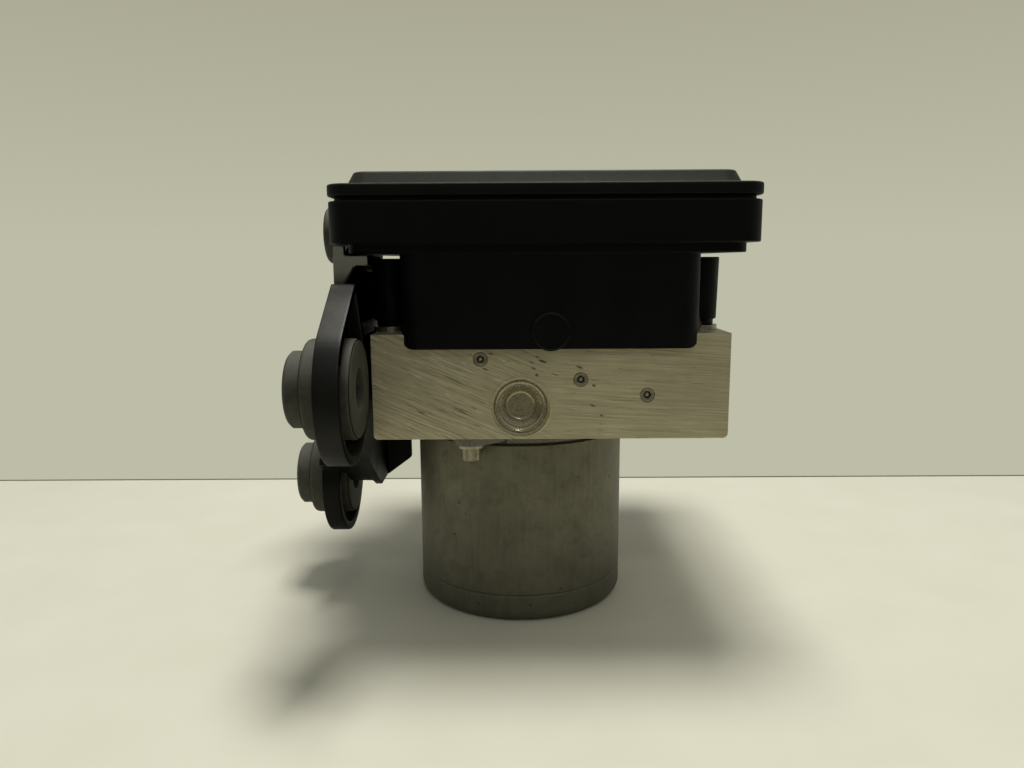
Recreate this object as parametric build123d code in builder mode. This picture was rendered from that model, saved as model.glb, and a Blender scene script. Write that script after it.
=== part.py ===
from build123d import *
import math
import os

os.makedirs("parts", exist_ok=True)

# Anti-lock brake module, in millimetres.
# It stands on the end of its pump motor. The origin is the motor's axis at that end,
# +Z up through the valve block to the control unit, +Y towards the cable connector.

# ---- pump motor ----
can_diameter = 66.6
can_height = 54.9
can_wall = 1.8
can_floor = 2.4
can_edge_radius = 3.0
score_height = 8.4
score_width = 0.9
score_depth = 0.35
flange_groove = 1.0
flange_thickness = 3.2
flange_lip = 0.3
spigot_length = 3.4
bearing_outer_diameter = 16.0
bearing_width = 5.0
bearing_seat_wall = 2.4
shaft_diameter = 8.0
running_clearance = 0.03
fit_clearance = 0.05
magnet_thickness = 5.0
magnet_overhang = 5.2
magnet_gap = 9.0
magnet_count = 4
air_gap = 0.7
core_bottom = 12.5
commutator_head_room = 1.5
commutator_foot = 3.0
slot_count = 12
slot_width = 3.0
slot_depth = 9.0
winding_overhang = 4.5
commutator_diameter = 20.0
brush_plate_thickness = 2.0
brush_width = 5.0
brush_height = 6.0
brush_length = 9.0
motor_bolt_reach = 4.2
motor_bolt_angle = 67.5
motor_bolt_diameter = 4.4
motor_bolt_grip = 12.0
motor_bolt_flange_diameter = 8.0
motor_bolt_head_diameter = 5.3
motor_bolt_head_height = 3.8
ear_radius = 5.2
ear_thickness = 2.8

# ---- valve block ----
block_side_margin = 8.5
block_depth = 84.0
block_height = 29.5
block_offset_x = 8.35
block_edge_radius = 1.4
chamber_diameter = 31.0
chamber_depth = 17.5
eccentricity = 0.9
journal_diameter = 11.0
journal_length = 12.0
ring_outer_diameter = 18.0
ring_length = 11.0
pump_height_in_block = 9.0
pump_piston_diameter = 6.0
pump_piston_length = 16.0
pump_head_diameter = 9.2
pump_head_length = 1.2
pump_spring_chamber_diameter = 12.2
pump_plug_diameter = 14.8
pump_plug_depth = 4.6
pump_mouth_diameter = 16.4
pump_mouth_depth = 1.3
pump_mouth_land = 0.6
pump_dish_diameter = 12.0
pump_dish_floor_diameter = 7.8
pump_dish_depth = 2.6
expander_diameter = 4.1
expander_depth = 8.0
expander_pin_diameter = 2.1
expander_sites = [(-11.1, 22.6), (16.7, 16.8), (35.2, 12.4)]
valve_columns = 4
valve_rows = 3
coil_side_gap = 0.6
valve_pitch_y = 18.0
valve_row_centre_y = -13.0
valve_bore_diameter = 9.1
valve_bore_depth = 8.0
valve_dome_diameter = 6.4
valve_dome_height = 16.5
coil_diameter = 15.6
coil_height = 18.2
coil_seat_gap = 0.3
sensor_diameter = 12.0
sensor_height = 14.0
sensor_x = 18.0
sensor_y = 23.0
contact_x = -14.0
contact_y = 20.0
contact_diameter = 8.2
accumulator_diameter = 17.0
accumulator_depth = 20.0
accumulator_y = 15.5
accumulator_height_in_block = 11.4
accumulator_cap_diameter = 18.8
accumulator_cap_thickness = 2.5
accumulator_piston_length = 8.0
accumulator_piston_wall = 1.5
accumulator_end_gap = 0.35
accumulator_spring_wire = 1.3
pump_spring_wire = 0.9
wheel_port_diameter = 9.0
wheel_port_depths = (12.0, 12.4, 12.8, 11.6)
wheel_port_pitch = 24.2
wheel_port_height_in_block = 16.9
inlet_port_diameter = 10.9
inlet_port_depths = (11.0, 11.5)
inlet_port_x = 44.5
inlet_port_y = 14.0

# ---- control unit ----
ecu_centre_x = 6.7
ecu_width = 115.6
ecu_depth = 132.0
ecu_front_y = -48.0
ecu_corner_radius = 6.0
ecu_wall = 2.5
ecu_floor = 2.0
box_height = 11.1
step_height = 2.7
step_centre_x = 7.4
step_width = 107.6
step_front_inset = 3.0
step_corner_radius = 4.5
step_depth = 83.0
coil_case_centre_x = 8.2
coil_case_width = 82.2
coil_case_front_y = -44.5
coil_case_back_y = 38.0
coil_case_height = 21.8
coil_case_radius = 5.4
coil_case_wall = 2.4
skirt_drop = 3.9
skirt_clearance = 0.1
skirt_corner_radius = 3.6
boss_x = 8.3
boss_height_over_block = 0.8
boss_diameter = 10.5
boss_relief = 0.4
neck_inset = 1.6
neck_height = 1.2
neck_wall = 2.0
cover_margin = 0.15
cover_flange_thickness = 3.2
cover_panel_height = 3.6
cover_panel_inset = 4.2
cover_panel_taper = 30.0
cover_panel_edge_radius = 0.9
cover_wall = 2.0
tower_left_reach = 4.6
tower_right_reach = 2.7
tower_y = 28.6
tower_top_diameter = 10.2
tower_foot_diameter = 9.4
tower_neck_diameter = 7.8
tower_top_gap = 1.15
tower_foot_neck = 1.7
insert_flange_diameter = 10.0
insert_flange_thickness = 1.4
insert_diameter = 6.0
insert_length = 12.0
ecu_screw_diameter = 3.5
ecu_screw_hole_diameter = 3.8
ecu_screw_head_diameter = 5.8
ecu_screw_head_height = 3.0
ecu_screw_recess_diameter = 6.1
ecu_screw_recess = 3.3
seal_width = 1.0
seal_height = 1.0
seal_groove_margin = 0.2
seal_land = 2.8
seal_land_height = 3.0
board_margin_x = 6.3
board_margin_y = 5.0
board_thickness = 1.6
board_post_inset = 4.0
board_post_height = 2.0
board_post_diameter = 5.0
connector_width = 72.0
connector_depth = 26.0
connector_inset = 20.0
connector_drop = 27.0
connector_wall = 2.2
connector_radius = 4.0
pin_size = 0.7
pin_length = 11.0
signal_left_margin = 3.4
signal_right_margin = 19.4
pin_row_pitch = 6.4
pin_columns = 15
pin_rows = 2
power_pin_width = 4.8
power_pin_thickness = 0.8
power_pin_pitch = 9.0
power_pin_margin = 7.0

# ---- bracket and rubber mounts ----
sheet = 2.6
grommet_nose_diameter = 20.4
grommet_flange_diameter = 26.7
grommet_bore_diameter = 10.9
grommet_waist_diameter = 19.0
grommet_hole_clearance = 0.1
grommet_nose_length = 4.7
grommet_left_length = 5.9
grommet_right_length = 4.7
grommet_edge_radius = 0.7
middle_web_reach = 8.2
upper_web_reach = 17.68
lower_web_reach = 22.35
middle_y = -53.1
middle_z = 75.4
lower_y = 4.8
lower_z = 36.9
upper_y = 36.0
upper_z = 118.1
cup_centre_y = -54.9
cup_radius = 19.7
cup_depth = 6.25
cup_tip_y = -49.0
cup_tip_z = 99.5
cup_tip_radius = 3.2
lower_eye_radius = 19.5
lower_rim_depth = 5.8
upper_eye_radius = 17.0
shelf_top_z = 110.0
shelf_back_y = 12.0
ledge_top_z = 86.6
bracket_back_y = 50.0
upper_web_front_y = -4.0
tongue_bottom_z = 33.5
tongue_back_y = 16.6
gusset_overlap = 2.75
gusset_corner_z = 39.7
plate_top_z = 112.7
plate_width = 2.95
plate_foot_z = 102.5
plate_slant_width = 5.35
shelf_width = 9.15
shelf_inner_y = -36.5
web_foot_z = 62.0
web_cup_y = -46.9
web_cup_z = 58.5
web_front_y = -25.0
slant_front_y = -28.0
slant_depth = 1.5
stop_y = -50.6
stop_z = 97.8
stop_radius = 2.0
stop_height = 0.8
joggle_run = 10.5
joggle_turn = 19.0
bracket_bolt_sites = [(0.0, 72.0), (36.0, 74.0)]
dimple_diameter = 18.2
bracket_bolt_diameter = 6.0
bracket_bolt_hole_diameter = 6.6
bracket_bolt_depth = 12.0
bracket_bolt_head_diameter = 10.0
bracket_bolt_head_height = 4.4
bracket_bolt_flange_diameter = 12.4
bracket_bolt_flange_thickness = 1.2

# ---- worked-out heights and edges ----
block_bottom = can_height + flange_groove + flange_thickness
block_top = block_bottom + block_height
block_width = coil_case_width + 2 * block_side_margin
block_left = block_offset_x - block_width / 2
block_right = block_offset_x + block_width / 2
middle_web_x = block_left - middle_web_reach
upper_web_x = block_left - upper_web_reach
lower_web_x = block_left - lower_web_reach
gusset_right_x = block_left + gusset_overlap
plate_right_x = middle_web_x + plate_width
plate_slant_x = middle_web_x + plate_slant_width
shelf_right_x = middle_web_x + shelf_width
block_front = -block_depth / 2
block_back = block_depth / 2
step_bottom = block_top + coil_case_height
box_bottom = step_bottom + step_height
box_top = box_bottom + box_height
cover_bottom = box_top + neck_height
cover_flange_top = cover_bottom + cover_flange_thickness
ecu_centre_y = ecu_front_y + ecu_depth / 2
pump_z = block_bottom + pump_height_in_block
accumulator_z = block_bottom + accumulator_height_in_block
pump_stroke = 2 * eccentricity
contact_gap = 0.3
can_radius = can_diameter / 2
can_inner_radius = can_radius - can_wall
brush_plate_z = can_height - spigot_length - brush_plate_thickness
brush_z = brush_plate_z - brush_height
commutator_bottom = brush_z - commutator_foot
commutator_length = can_height - spigot_length - commutator_head_room - commutator_bottom
core_length = commutator_bottom - winding_overhang - core_bottom
magnet_length = core_length + 2 * magnet_overhang
motor_bolt_x = (can_radius + motor_bolt_reach) * math.cos(math.radians(motor_bolt_angle))
motor_bolt_y = (can_radius + motor_bolt_reach) * math.sin(math.radians(motor_bolt_angle))
coil_case_depth = coil_case_back_y - coil_case_front_y
coil_case_centre_y = (coil_case_back_y + coil_case_front_y) / 2
skirt_inner_y = block_front - skirt_clearance
skirt_bottom = block_top - skirt_drop
tower_left_x = coil_case_centre_x - coil_case_width / 2 - tower_left_reach
tower_right_x = coil_case_centre_x + coil_case_width / 2 + tower_right_reach
tower_sites = [(x, end * tower_y) for x in (tower_left_x, tower_right_x) for end in (-1, 1)]
valve_pitch_x = (coil_case_width - 2 * coil_case_wall - coil_diameter - 2 * coil_side_gap) / (
    valve_columns - 1
)
board_width = ecu_width - 2 * board_margin_x
board_depth = ecu_depth - 2 * board_margin_y
connector_centre_y = ecu_front_y + ecu_depth - connector_inset
motor_bolt_sites = [(-motor_bolt_x, -motor_bolt_y), (motor_bolt_x, motor_bolt_y)]


def finish(piece, name):
    """Label a finished piece and write it."""
    piece.part.label = name
    export_step(piece.part, "parts/" + name + ".step")


# ================= pump motor =================

# Drawn steel can, closed at the bottom, with a bearing seat drawn inwards and a scored ring.
with BuildPart() as motor_can:
    with BuildSketch(Plane.XZ):
        with BuildLine():
            seat_radius = bearing_outer_diameter / 2 + fit_clearance
            seat_top = can_floor + bearing_width
            can_bottom_edge = Line((0, 0), (can_radius - can_edge_radius, 0))
            RadiusArc(can_bottom_edge @ 1, (can_radius, can_edge_radius), -can_edge_radius)
            Polyline(
                (can_radius, can_edge_radius),
                (can_radius, score_height - score_width / 2),
                (can_radius - score_depth, score_height),
                (can_radius, score_height + score_width / 2),
                (can_radius, can_height),
                (can_inner_radius, can_height),
                (can_inner_radius, can_floor),
                (seat_radius + bearing_seat_wall, can_floor),
                (seat_radius + bearing_seat_wall, seat_top),
                (seat_radius, seat_top),
                (seat_radius, can_floor),
                (0, can_floor),
                (0, 0),
            )
        make_face()
    revolve(axis=Axis.Z)
finish(motor_can, "motor_can")

# Cast end plate between the can and the block, with two bolt ears and the upper bearing seat.
with BuildPart() as motor_flange:
    plate_bottom = block_bottom - flange_thickness
    with BuildSketch(Plane.XY.offset(plate_bottom)):
        Circle(can_radius + flange_lip)
    extrude(amount=flange_thickness)
    with BuildSketch(Plane.XY.offset(block_bottom - ear_thickness)):
        Circle(can_radius - 2 * ear_radius)
        with Locations(*motor_bolt_sites):
            Circle(ear_radius)
        make_hull()
    extrude(amount=ear_thickness)
    with BuildSketch(Plane.XY.offset(can_height)):
        Circle(can_inner_radius + flange_lip)
    extrude(amount=flange_groove)
    with BuildSketch(Plane.XY.offset(can_height - spigot_length)):
        Circle(can_inner_radius - fit_clearance)
    extrude(amount=spigot_length)
    with BuildSketch(Plane.XY.offset(can_height - spigot_length)):
        Circle(can_inner_radius - 2 * can_wall)
        Circle(seat_radius + bearing_seat_wall, mode=Mode.SUBTRACT)
    extrude(amount=spigot_length + flange_groove, mode=Mode.SUBTRACT)
    with BuildSketch(Plane.XY.offset(block_bottom)):
        Circle(seat_radius)
    extrude(amount=-(bearing_width + 2 * contact_gap), mode=Mode.SUBTRACT)
    with BuildSketch(Plane.XY.offset(block_bottom)):
        Circle(shaft_diameter / 2 + 1)
    extrude(amount=-(flange_thickness + flange_groove + spigot_length), mode=Mode.SUBTRACT)
    with BuildSketch(Plane.XY.offset(block_bottom)):
        with Locations((contact_x, contact_y)):
            Circle(contact_diameter / 2 + fit_clearance)
    extrude(amount=-(flange_thickness + flange_groove + spigot_length), mode=Mode.SUBTRACT)
    with BuildSketch(Plane.XY.offset(block_bottom)):
        with Locations(*motor_bolt_sites):
            Circle(motor_bolt_diameter / 2 + fit_clearance)
    extrude(amount=-flange_thickness, mode=Mode.SUBTRACT)
finish(motor_flange, "motor_flange")

# Two equal ball bearings, one in the can's floor and one in the end plate.
upper_bearing_z = block_bottom - bearing_width - contact_gap
with BuildPart() as motor_bearings:
    for bearing_z in (can_floor, upper_bearing_z):
        with BuildSketch(Plane.XY.offset(bearing_z)):
            Circle(bearing_outer_diameter / 2)
            Circle(shaft_diameter / 2 + running_clearance, mode=Mode.SUBTRACT)
        extrude(amount=bearing_width)
finish(motor_bearings, "motor_bearings")

# Four arc magnets glued inside the can.
magnet_outer_radius = can_inner_radius - fit_clearance
magnet_inner_radius = magnet_outer_radius - magnet_thickness
magnet_bottom = core_bottom - magnet_overhang
with BuildPart() as motor_magnets:
    with BuildSketch(Plane.XY.offset(magnet_bottom)):
        Circle(magnet_outer_radius)
        Circle(magnet_inner_radius, mode=Mode.SUBTRACT)
        with PolarLocations(magnet_outer_radius, magnet_count, start_angle=45):
            Rectangle(3 * magnet_thickness, magnet_gap, mode=Mode.SUBTRACT)
    extrude(amount=magnet_length)
finish(motor_magnets, "motor_magnets")

# Motor shaft with the eccentric journal that drives the two pump pistons.
journal_bottom = pump_z - journal_length / 2
with BuildPart() as motor_shaft:
    with BuildSketch(Plane.XY.offset(can_floor + contact_gap)):
        Circle(shaft_diameter / 2)
    extrude(amount=journal_bottom - can_floor - contact_gap)
    with BuildSketch(Plane.XY.offset(journal_bottom)):
        with Locations((eccentricity, 0)):
            Circle(journal_diameter / 2)
    extrude(amount=journal_length)
finish(motor_shaft, "motor_shaft")

# Laminated armature core with open slots.
core_radius = magnet_inner_radius - air_gap
with BuildPart() as armature_core:
    with BuildSketch(Plane.XY.offset(core_bottom)):
        Circle(core_radius)
        Circle(shaft_diameter / 2 + fit_clearance, mode=Mode.SUBTRACT)
        with PolarLocations(core_radius - slot_depth / 2, slot_count):
            Rectangle(slot_depth + 1, slot_width, mode=Mode.SUBTRACT)
    extrude(amount=core_length)
finish(armature_core, "armature_core")

# Copper windings: a bar in every slot, joined by the end turns above and below the core.
slot_inner_radius = core_radius - slot_depth
with BuildPart() as armature_windings:
    for turns_z in (core_bottom - winding_overhang, core_bottom + core_length):
        with BuildSketch(Plane.XY.offset(turns_z)):
            Circle(core_radius - slot_width)
            Circle(slot_inner_radius - slot_width, mode=Mode.SUBTRACT)
        extrude(amount=winding_overhang)
    with BuildSketch(Plane.XY.offset(core_bottom)):
        with PolarLocations(core_radius - slot_depth / 2, slot_count):
            Rectangle(slot_depth - slot_width, slot_width - 2 * fit_clearance)
    extrude(amount=core_length)
finish(armature_windings, "armature_windings")

# Commutator drum, split into bars by shallow slots.
with BuildPart() as commutator:
    with BuildSketch(Plane.XY.offset(commutator_bottom)):
        Circle(commutator_diameter / 2)
        Circle(shaft_diameter / 2 + fit_clearance, mode=Mode.SUBTRACT)
        with PolarLocations(commutator_diameter / 2, slot_count):
            Rectangle(2, 0.6, mode=Mode.SUBTRACT)
    extrude(amount=commutator_length)
finish(commutator, "commutator")

# Brush plate under the end plate, with a window for each brush and the contact post's socket.
with BuildPart() as brush_plate:
    with BuildSketch(Plane.XY.offset(brush_plate_z)):
        Circle(can_inner_radius - contact_gap)
        Circle(seat_radius + bearing_seat_wall + contact_gap, mode=Mode.SUBTRACT)
        with Locations((contact_x, contact_y)):
            Circle(contact_diameter / 2 + fit_clearance, mode=Mode.SUBTRACT)
    extrude(amount=brush_plate_thickness)
    guide_length = brush_length - 1
    guide_inner = commutator_diameter / 2 + 2
    for side in (-1, 1):
        for edge in (-1, 1):
            with BuildSketch(Plane.XY.offset(brush_z)):
                with Locations((side * (guide_inner + guide_length / 2), edge * (brush_width / 2 + 1.1))):
                    Rectangle(guide_length, 2)
            extrude(amount=brush_height)
finish(brush_plate, "brush_plate")

# Two carbon brushes held against the commutator.
with BuildPart() as motor_brushes:
    for side in (-1, 1):
        with BuildSketch(Plane.XY.offset(brush_z)):
            with Locations((side * (commutator_diameter / 2 + contact_gap + brush_length / 2), 0)):
                Rectangle(brush_length, brush_width)
        extrude(amount=brush_height)
finish(motor_brushes, "motor_brushes")

# Flanged bolts with a small splined head, driven up through the ears.
with BuildPart() as motor_bolts:
    bolt_seat_z = block_bottom - ear_thickness
    with BuildSketch(Plane.XY.offset(bolt_seat_z)):
        with Locations(*motor_bolt_sites):
            Circle(motor_bolt_diameter / 2)
    extrude(amount=motor_bolt_grip)
    with BuildSketch(Plane.XY.offset(bolt_seat_z)):
        with Locations(*motor_bolt_sites):
            Circle(motor_bolt_flange_diameter / 2)
    extrude(amount=-1.1, taper=8)
    with BuildSketch(Plane.XY.offset(bolt_seat_z - 1.0)):
        with Locations(*motor_bolt_sites):
            RegularPolygon(motor_bolt_head_diameter / 2, 6)
            RegularPolygon(motor_bolt_head_diameter / 2, 6, rotation=30)
    extrude(amount=-motor_bolt_head_height)
finish(motor_bolts, "motor_bolts")

# ================= valve block =================

pump_axis = Axis((0, 0, pump_z), (0, 1, 0))
pump_shoulder_y = ring_outer_diameter / 2 + pump_stroke + contact_gap + pump_piston_length - 3
pump_chamber_end = block_back - pump_plug_depth
accumulator_end_x = block_left + accumulator_depth
wheel_port_ys = [(i - 1.5) * wheel_port_pitch for i in range(4)]
wheel_port_z = block_bottom + wheel_port_height_in_block

# Machined aluminium block, with every bore that its valves, pumps, springs and pipes need.
with BuildPart() as valve_block:
    with BuildSketch(Plane.XZ.offset(-block_back)):
        with Locations((block_offset_x, block_bottom + block_height / 2)):
            Rectangle(block_width, block_height)
        fillet(vertices().group_by(Axis.Y)[0], block_edge_radius)
    extrude(amount=block_depth)
    # eccentric chamber
    with BuildSketch(Plane.XY.offset(block_bottom)):
        Circle(chamber_diameter / 2)
    extrude(amount=chamber_depth, mode=Mode.SUBTRACT)
    # pump bores, front and rear
    for side in (-1, 1):
        with BuildSketch(Plane.XY.offset(pump_z)):
            with BuildLine():
                Polyline(
                    (0, 0),
                    (pump_piston_diameter / 2 + running_clearance, 0),
                    (pump_piston_diameter / 2 + running_clearance, side * pump_shoulder_y),
                    (pump_spring_chamber_diameter / 2, side * pump_shoulder_y),
                    (pump_spring_chamber_diameter / 2, side * pump_chamber_end),
                    (pump_plug_diameter / 2 + fit_clearance, side * pump_chamber_end),
                    (pump_plug_diameter / 2 + fit_clearance, side * (block_back - pump_mouth_depth)),
                    (pump_mouth_diameter / 2, side * (block_back - pump_mouth_land)),
                    (pump_mouth_diameter / 2, side * (block_back + 1)),
                    (0, side * (block_back + 1)),
                    (0, 0),
                )
            make_face()
        revolve(axis=pump_axis, mode=Mode.SUBTRACT)
    # cross drillings closed by the expander plugs, on the front and rear faces
    for face_plane in (Plane.XZ.offset(block_back), Plane.XZ.offset(block_front)):
        depth = -expander_depth if face_plane.origin.Y < 0 else expander_depth
        with BuildSketch(face_plane):
            for site_x, site_height in expander_sites:
                with Locations((site_x, block_bottom + site_height)):
                    Circle(expander_diameter / 2)
        extrude(amount=depth, mode=Mode.SUBTRACT)
    # valve cartridge seats and the pressure sensor's seat in the top face
    with BuildSketch(Plane.XY.offset(block_top)):
        with Locations((coil_case_centre_x, valve_row_centre_y)):
            with GridLocations(valve_pitch_x, valve_pitch_y, valve_columns, valve_rows):
                Circle(valve_bore_diameter / 2)
        with Locations((sensor_x, sensor_y)):
            Circle(sensor_diameter / 2 - 1)
    extrude(amount=-valve_bore_depth, mode=Mode.SUBTRACT)
    # passage for the motor's contact post and the control unit's screws
    with BuildSketch(Plane.XY.offset(block_bottom)):
        with Locations((contact_x, contact_y)):
            Circle(contact_diameter / 2 + fit_clearance)
        with Locations(*tower_sites):
            Circle(ecu_screw_hole_diameter / 2)
    extrude(amount=block_height, mode=Mode.SUBTRACT)
    with BuildSketch(Plane.XY.offset(block_bottom)):
        with Locations(*tower_sites):
            Circle(ecu_screw_recess_diameter / 2)
    extrude(amount=ecu_screw_recess, mode=Mode.SUBTRACT)
    # motor bolt holes
    with BuildSketch(Plane.XY.offset(block_bottom)):
        with Locations(*motor_bolt_sites):
            Circle(motor_bolt_diameter / 2 + fit_clearance)
    extrude(amount=motor_bolt_grip, mode=Mode.SUBTRACT)
    # low-pressure accumulator bores and bracket bolt holes in the left face
    with BuildSketch(Plane.YZ.offset(block_left)):
        with Locations((-accumulator_y, accumulator_z), (accumulator_y, accumulator_z)):
            Circle(accumulator_diameter / 2)
    extrude(amount=accumulator_depth, mode=Mode.SUBTRACT)
    with BuildSketch(Plane.YZ.offset(block_left)):
        with Locations((-accumulator_y, accumulator_z), (accumulator_y, accumulator_z)):
            Circle(accumulator_cap_diameter / 2 + fit_clearance)
    extrude(amount=accumulator_cap_thickness, mode=Mode.SUBTRACT)
    with BuildSketch(Plane.YZ.offset(block_left)):
        with Locations(*bracket_bolt_sites):
            Circle(bracket_bolt_diameter / 2 + fit_clearance)
    extrude(amount=bracket_bolt_depth, mode=Mode.SUBTRACT)
    # four wheel ports in the right face, each as deep as the passage that it meets
    for port_y, port_depth in zip(wheel_port_ys, wheel_port_depths):
        with BuildSketch(Plane.YZ.offset(block_right)):
            with Locations((port_y, wheel_port_z)):
                Circle(wheel_port_diameter / 2)
        extrude(amount=-port_depth, mode=Mode.SUBTRACT)
    # two inlet ports in the underside, beside the motor
    for side, port_depth in zip((-1, 1), inlet_port_depths):
        with BuildSketch(Plane.XY.offset(block_bottom)):
            with Locations((inlet_port_x, side * inlet_port_y)):
                Circle(inlet_port_diameter / 2)
        extrude(amount=port_depth, mode=Mode.SUBTRACT)
finish(valve_block, "valve_block")

# Expander plugs: a steel sleeve swaged into each drilling round a short pin hole.
with BuildPart() as expander_plugs:
    for side in (-1, 1):
        plug_plane = Plane.XZ.offset(-side * (block_back - 0.3))
        with BuildSketch(plug_plane):
            for site_x, site_height in expander_sites:
                with Locations((site_x, block_bottom + site_height)):
                    Circle(expander_diameter / 2 - 0.02)
                    Circle(expander_pin_diameter / 2, mode=Mode.SUBTRACT)
        extrude(amount=side * (expander_depth - 2))
        with BuildSketch(Plane.XZ.offset(-side * (block_back - 2.0))):
            for site_x, site_height in expander_sites:
                with Locations((site_x, block_bottom + site_height)):
                    Circle(expander_pin_diameter / 2)
        extrude(amount=side * 2)
finish(expander_plugs, "expander_plugs")


def pump_plug(side):
    """Dished steel plug that closes a pump bore; side is -1 at the front and 1 at the rear."""
    inner_y = side * (pump_chamber_end + fit_clearance)
    rim_y = side * (block_back - pump_mouth_depth)
    floor_y = side * (block_back - pump_mouth_depth - pump_dish_depth)
    with BuildPart() as plug:
        with BuildSketch(Plane.XY.offset(pump_z)):
            with BuildLine():
                Polyline(
                    (0, inner_y),
                    (pump_plug_diameter / 2, inner_y),
                    (pump_plug_diameter / 2, rim_y),
                    (pump_dish_diameter / 2, rim_y),
                    (pump_dish_diameter / 2, rim_y - side * 0.5),
                    (pump_dish_floor_diameter / 2, floor_y),
                    (0, floor_y),
                    (0, inner_y),
                )
            make_face()
        revolve(axis=pump_axis)
    return plug


def pump_piston(side):
    """Pump piston at mid stroke, with the head that its return spring bears on."""
    foot_y = side * (ring_outer_diameter / 2 + pump_stroke + contact_gap)
    head_y = foot_y + side * pump_piston_length
    with BuildPart() as piston:
        with BuildSketch(Plane.XY.offset(pump_z)):
            with BuildLine():
                Polyline(
                    (0, foot_y),
                    (pump_piston_diameter / 2, foot_y),
                    (pump_piston_diameter / 2, head_y - side * pump_head_length),
                    (pump_head_diameter / 2, head_y - side * pump_head_length),
                    (pump_head_diameter / 2, head_y),
                    (0, head_y),
                    (0, foot_y),
                )
            make_face()
        revolve(axis=pump_axis)
    return piston


def coil_spring(start, direction, length, coil_radius, wire, turns):
    """Round-wire compression spring between two seats along direction."""
    spring_plane = Plane(origin=start, z_dir=direction)
    path = Helix(
        pitch=(length - wire) / turns,
        height=length - wire,
        radius=coil_radius,
        center=spring_plane.from_local_coords((0, 0, wire / 2)),
        direction=direction,
    )
    with BuildPart() as spring:
        with BuildSketch(Plane(origin=path @ 0, z_dir=path % 0)):
            RegularPolygon(wire / 2, 6)
        sweep(path=path)
    return spring


pump_head_y = ring_outer_diameter / 2 + pump_stroke + contact_gap + pump_piston_length
pump_spring_length = pump_chamber_end - pump_head_y - 0.2
for side, place in ((-1, "front"), (1, "rear")):
    finish(pump_plug(side), "pump_plug_" + place)
    finish(pump_piston(side), "pump_piston_" + place)
    pump_spring = coil_spring(
        (0, side * (pump_head_y + 0.1), pump_z),
        (0, side, 0),
        pump_spring_length,
        pump_head_diameter / 2 - pump_spring_wire,
        pump_spring_wire,
        4,
    )
    finish(pump_spring, "pump_spring_" + place)


def accumulator_piston(side):
    """Cup-shaped accumulator piston at its empty end of travel, open towards the cap."""
    end_x = accumulator_end_x - accumulator_end_gap
    rim_x = end_x - accumulator_piston_length
    outer = side * accumulator_y
    radius = accumulator_diameter / 2 - running_clearance
    with BuildPart() as piston:
        with BuildSketch(Plane.XY.offset(accumulator_z)):
            with BuildLine():
                Polyline(
                    (end_x, outer),
                    (end_x, outer + radius),
                    (rim_x, outer + radius),
                    (rim_x, outer + radius - accumulator_piston_wall),
                    (end_x - accumulator_piston_wall, outer + radius - accumulator_piston_wall),
                    (end_x - accumulator_piston_wall, outer),
                    (end_x, outer),
                )
            make_face()
        revolve(axis=Axis((0, outer, accumulator_z), (1, 0, 0)))
    return piston


cap_inner_x = block_left + accumulator_cap_thickness
accumulator_spring_start = accumulator_end_x - accumulator_end_gap - accumulator_piston_wall - 0.1
for side, place in ((-1, "front"), (1, "rear")):
    finish(accumulator_piston(side), "accumulator_piston_" + place)
    accumulator_spring = coil_spring(
        (accumulator_spring_start, side * accumulator_y, accumulator_z),
        (-1, 0, 0),
        accumulator_spring_start - cap_inner_x - 0.1,
        accumulator_diameter / 2 - accumulator_piston_wall - accumulator_spring_wire,
        accumulator_spring_wire,
        5,
    )
    finish(accumulator_spring, "accumulator_spring_" + place)

# Two pressed-in caps that close the accumulator bores, with a breather hole.
with BuildPart() as accumulator_caps:
    with BuildSketch(Plane.YZ.offset(block_left)):
        for side in (-1, 1):
            with Locations((side * accumulator_y, accumulator_z)):
                Circle(accumulator_cap_diameter / 2)
                Circle(1.0, mode=Mode.SUBTRACT)
    extrude(amount=accumulator_cap_thickness)
finish(accumulator_caps, "accumulator_caps")

# Twelve solenoid valve cartridges: a body staked in the block and a domed steel tube above it.
with BuildPart() as valve_cartridges:
    with BuildSketch(Plane.XY.offset(block_top - valve_bore_depth + fit_clearance)):
        with Locations((coil_case_centre_x, valve_row_centre_y)):
            with GridLocations(valve_pitch_x, valve_pitch_y, valve_columns, valve_rows):
                Circle(valve_bore_diameter / 2 - fit_clearance)
    extrude(amount=valve_bore_depth - fit_clearance)
    with BuildSketch(Plane.XY.offset(block_top)):
        with Locations((coil_case_centre_x, valve_row_centre_y)):
            with GridLocations(valve_pitch_x, valve_pitch_y, valve_columns, valve_rows):
                Circle(valve_dome_diameter / 2)
    extrude(amount=valve_dome_height)
    chamfer(faces().filter_by(Axis.Z).group_by(Axis.Z)[-1].edges(), 1.0)
finish(valve_cartridges, "valve_cartridges")

# Twelve coils, one over each cartridge.
with BuildPart() as solenoid_coils:
    with BuildSketch(Plane.XY.offset(block_top + coil_seat_gap)):
        with Locations((coil_case_centre_x, valve_row_centre_y)):
            with GridLocations(valve_pitch_x, valve_pitch_y, valve_columns, valve_rows):
                Circle(coil_diameter / 2)
                Circle(valve_dome_diameter / 2 + 0.2, mode=Mode.SUBTRACT)
    extrude(amount=coil_height)
finish(solenoid_coils, "solenoid_coils")

# Pressure sensor screwed into the block between the coils and the connector.
with BuildPart() as pressure_sensor:
    with BuildSketch(Plane.XY.offset(block_top - valve_bore_depth + 1)):
        with Locations((sensor_x, sensor_y)):
            Circle(sensor_diameter / 2 - 1 - fit_clearance)
    extrude(amount=valve_bore_depth - 1)
    with BuildSketch(Plane.XY.offset(block_top)):
        with Locations((sensor_x, sensor_y)):
            Circle(sensor_diameter / 2)
    extrude(amount=sensor_height)
finish(pressure_sensor, "pressure_sensor")

# ================= control unit =================

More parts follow.
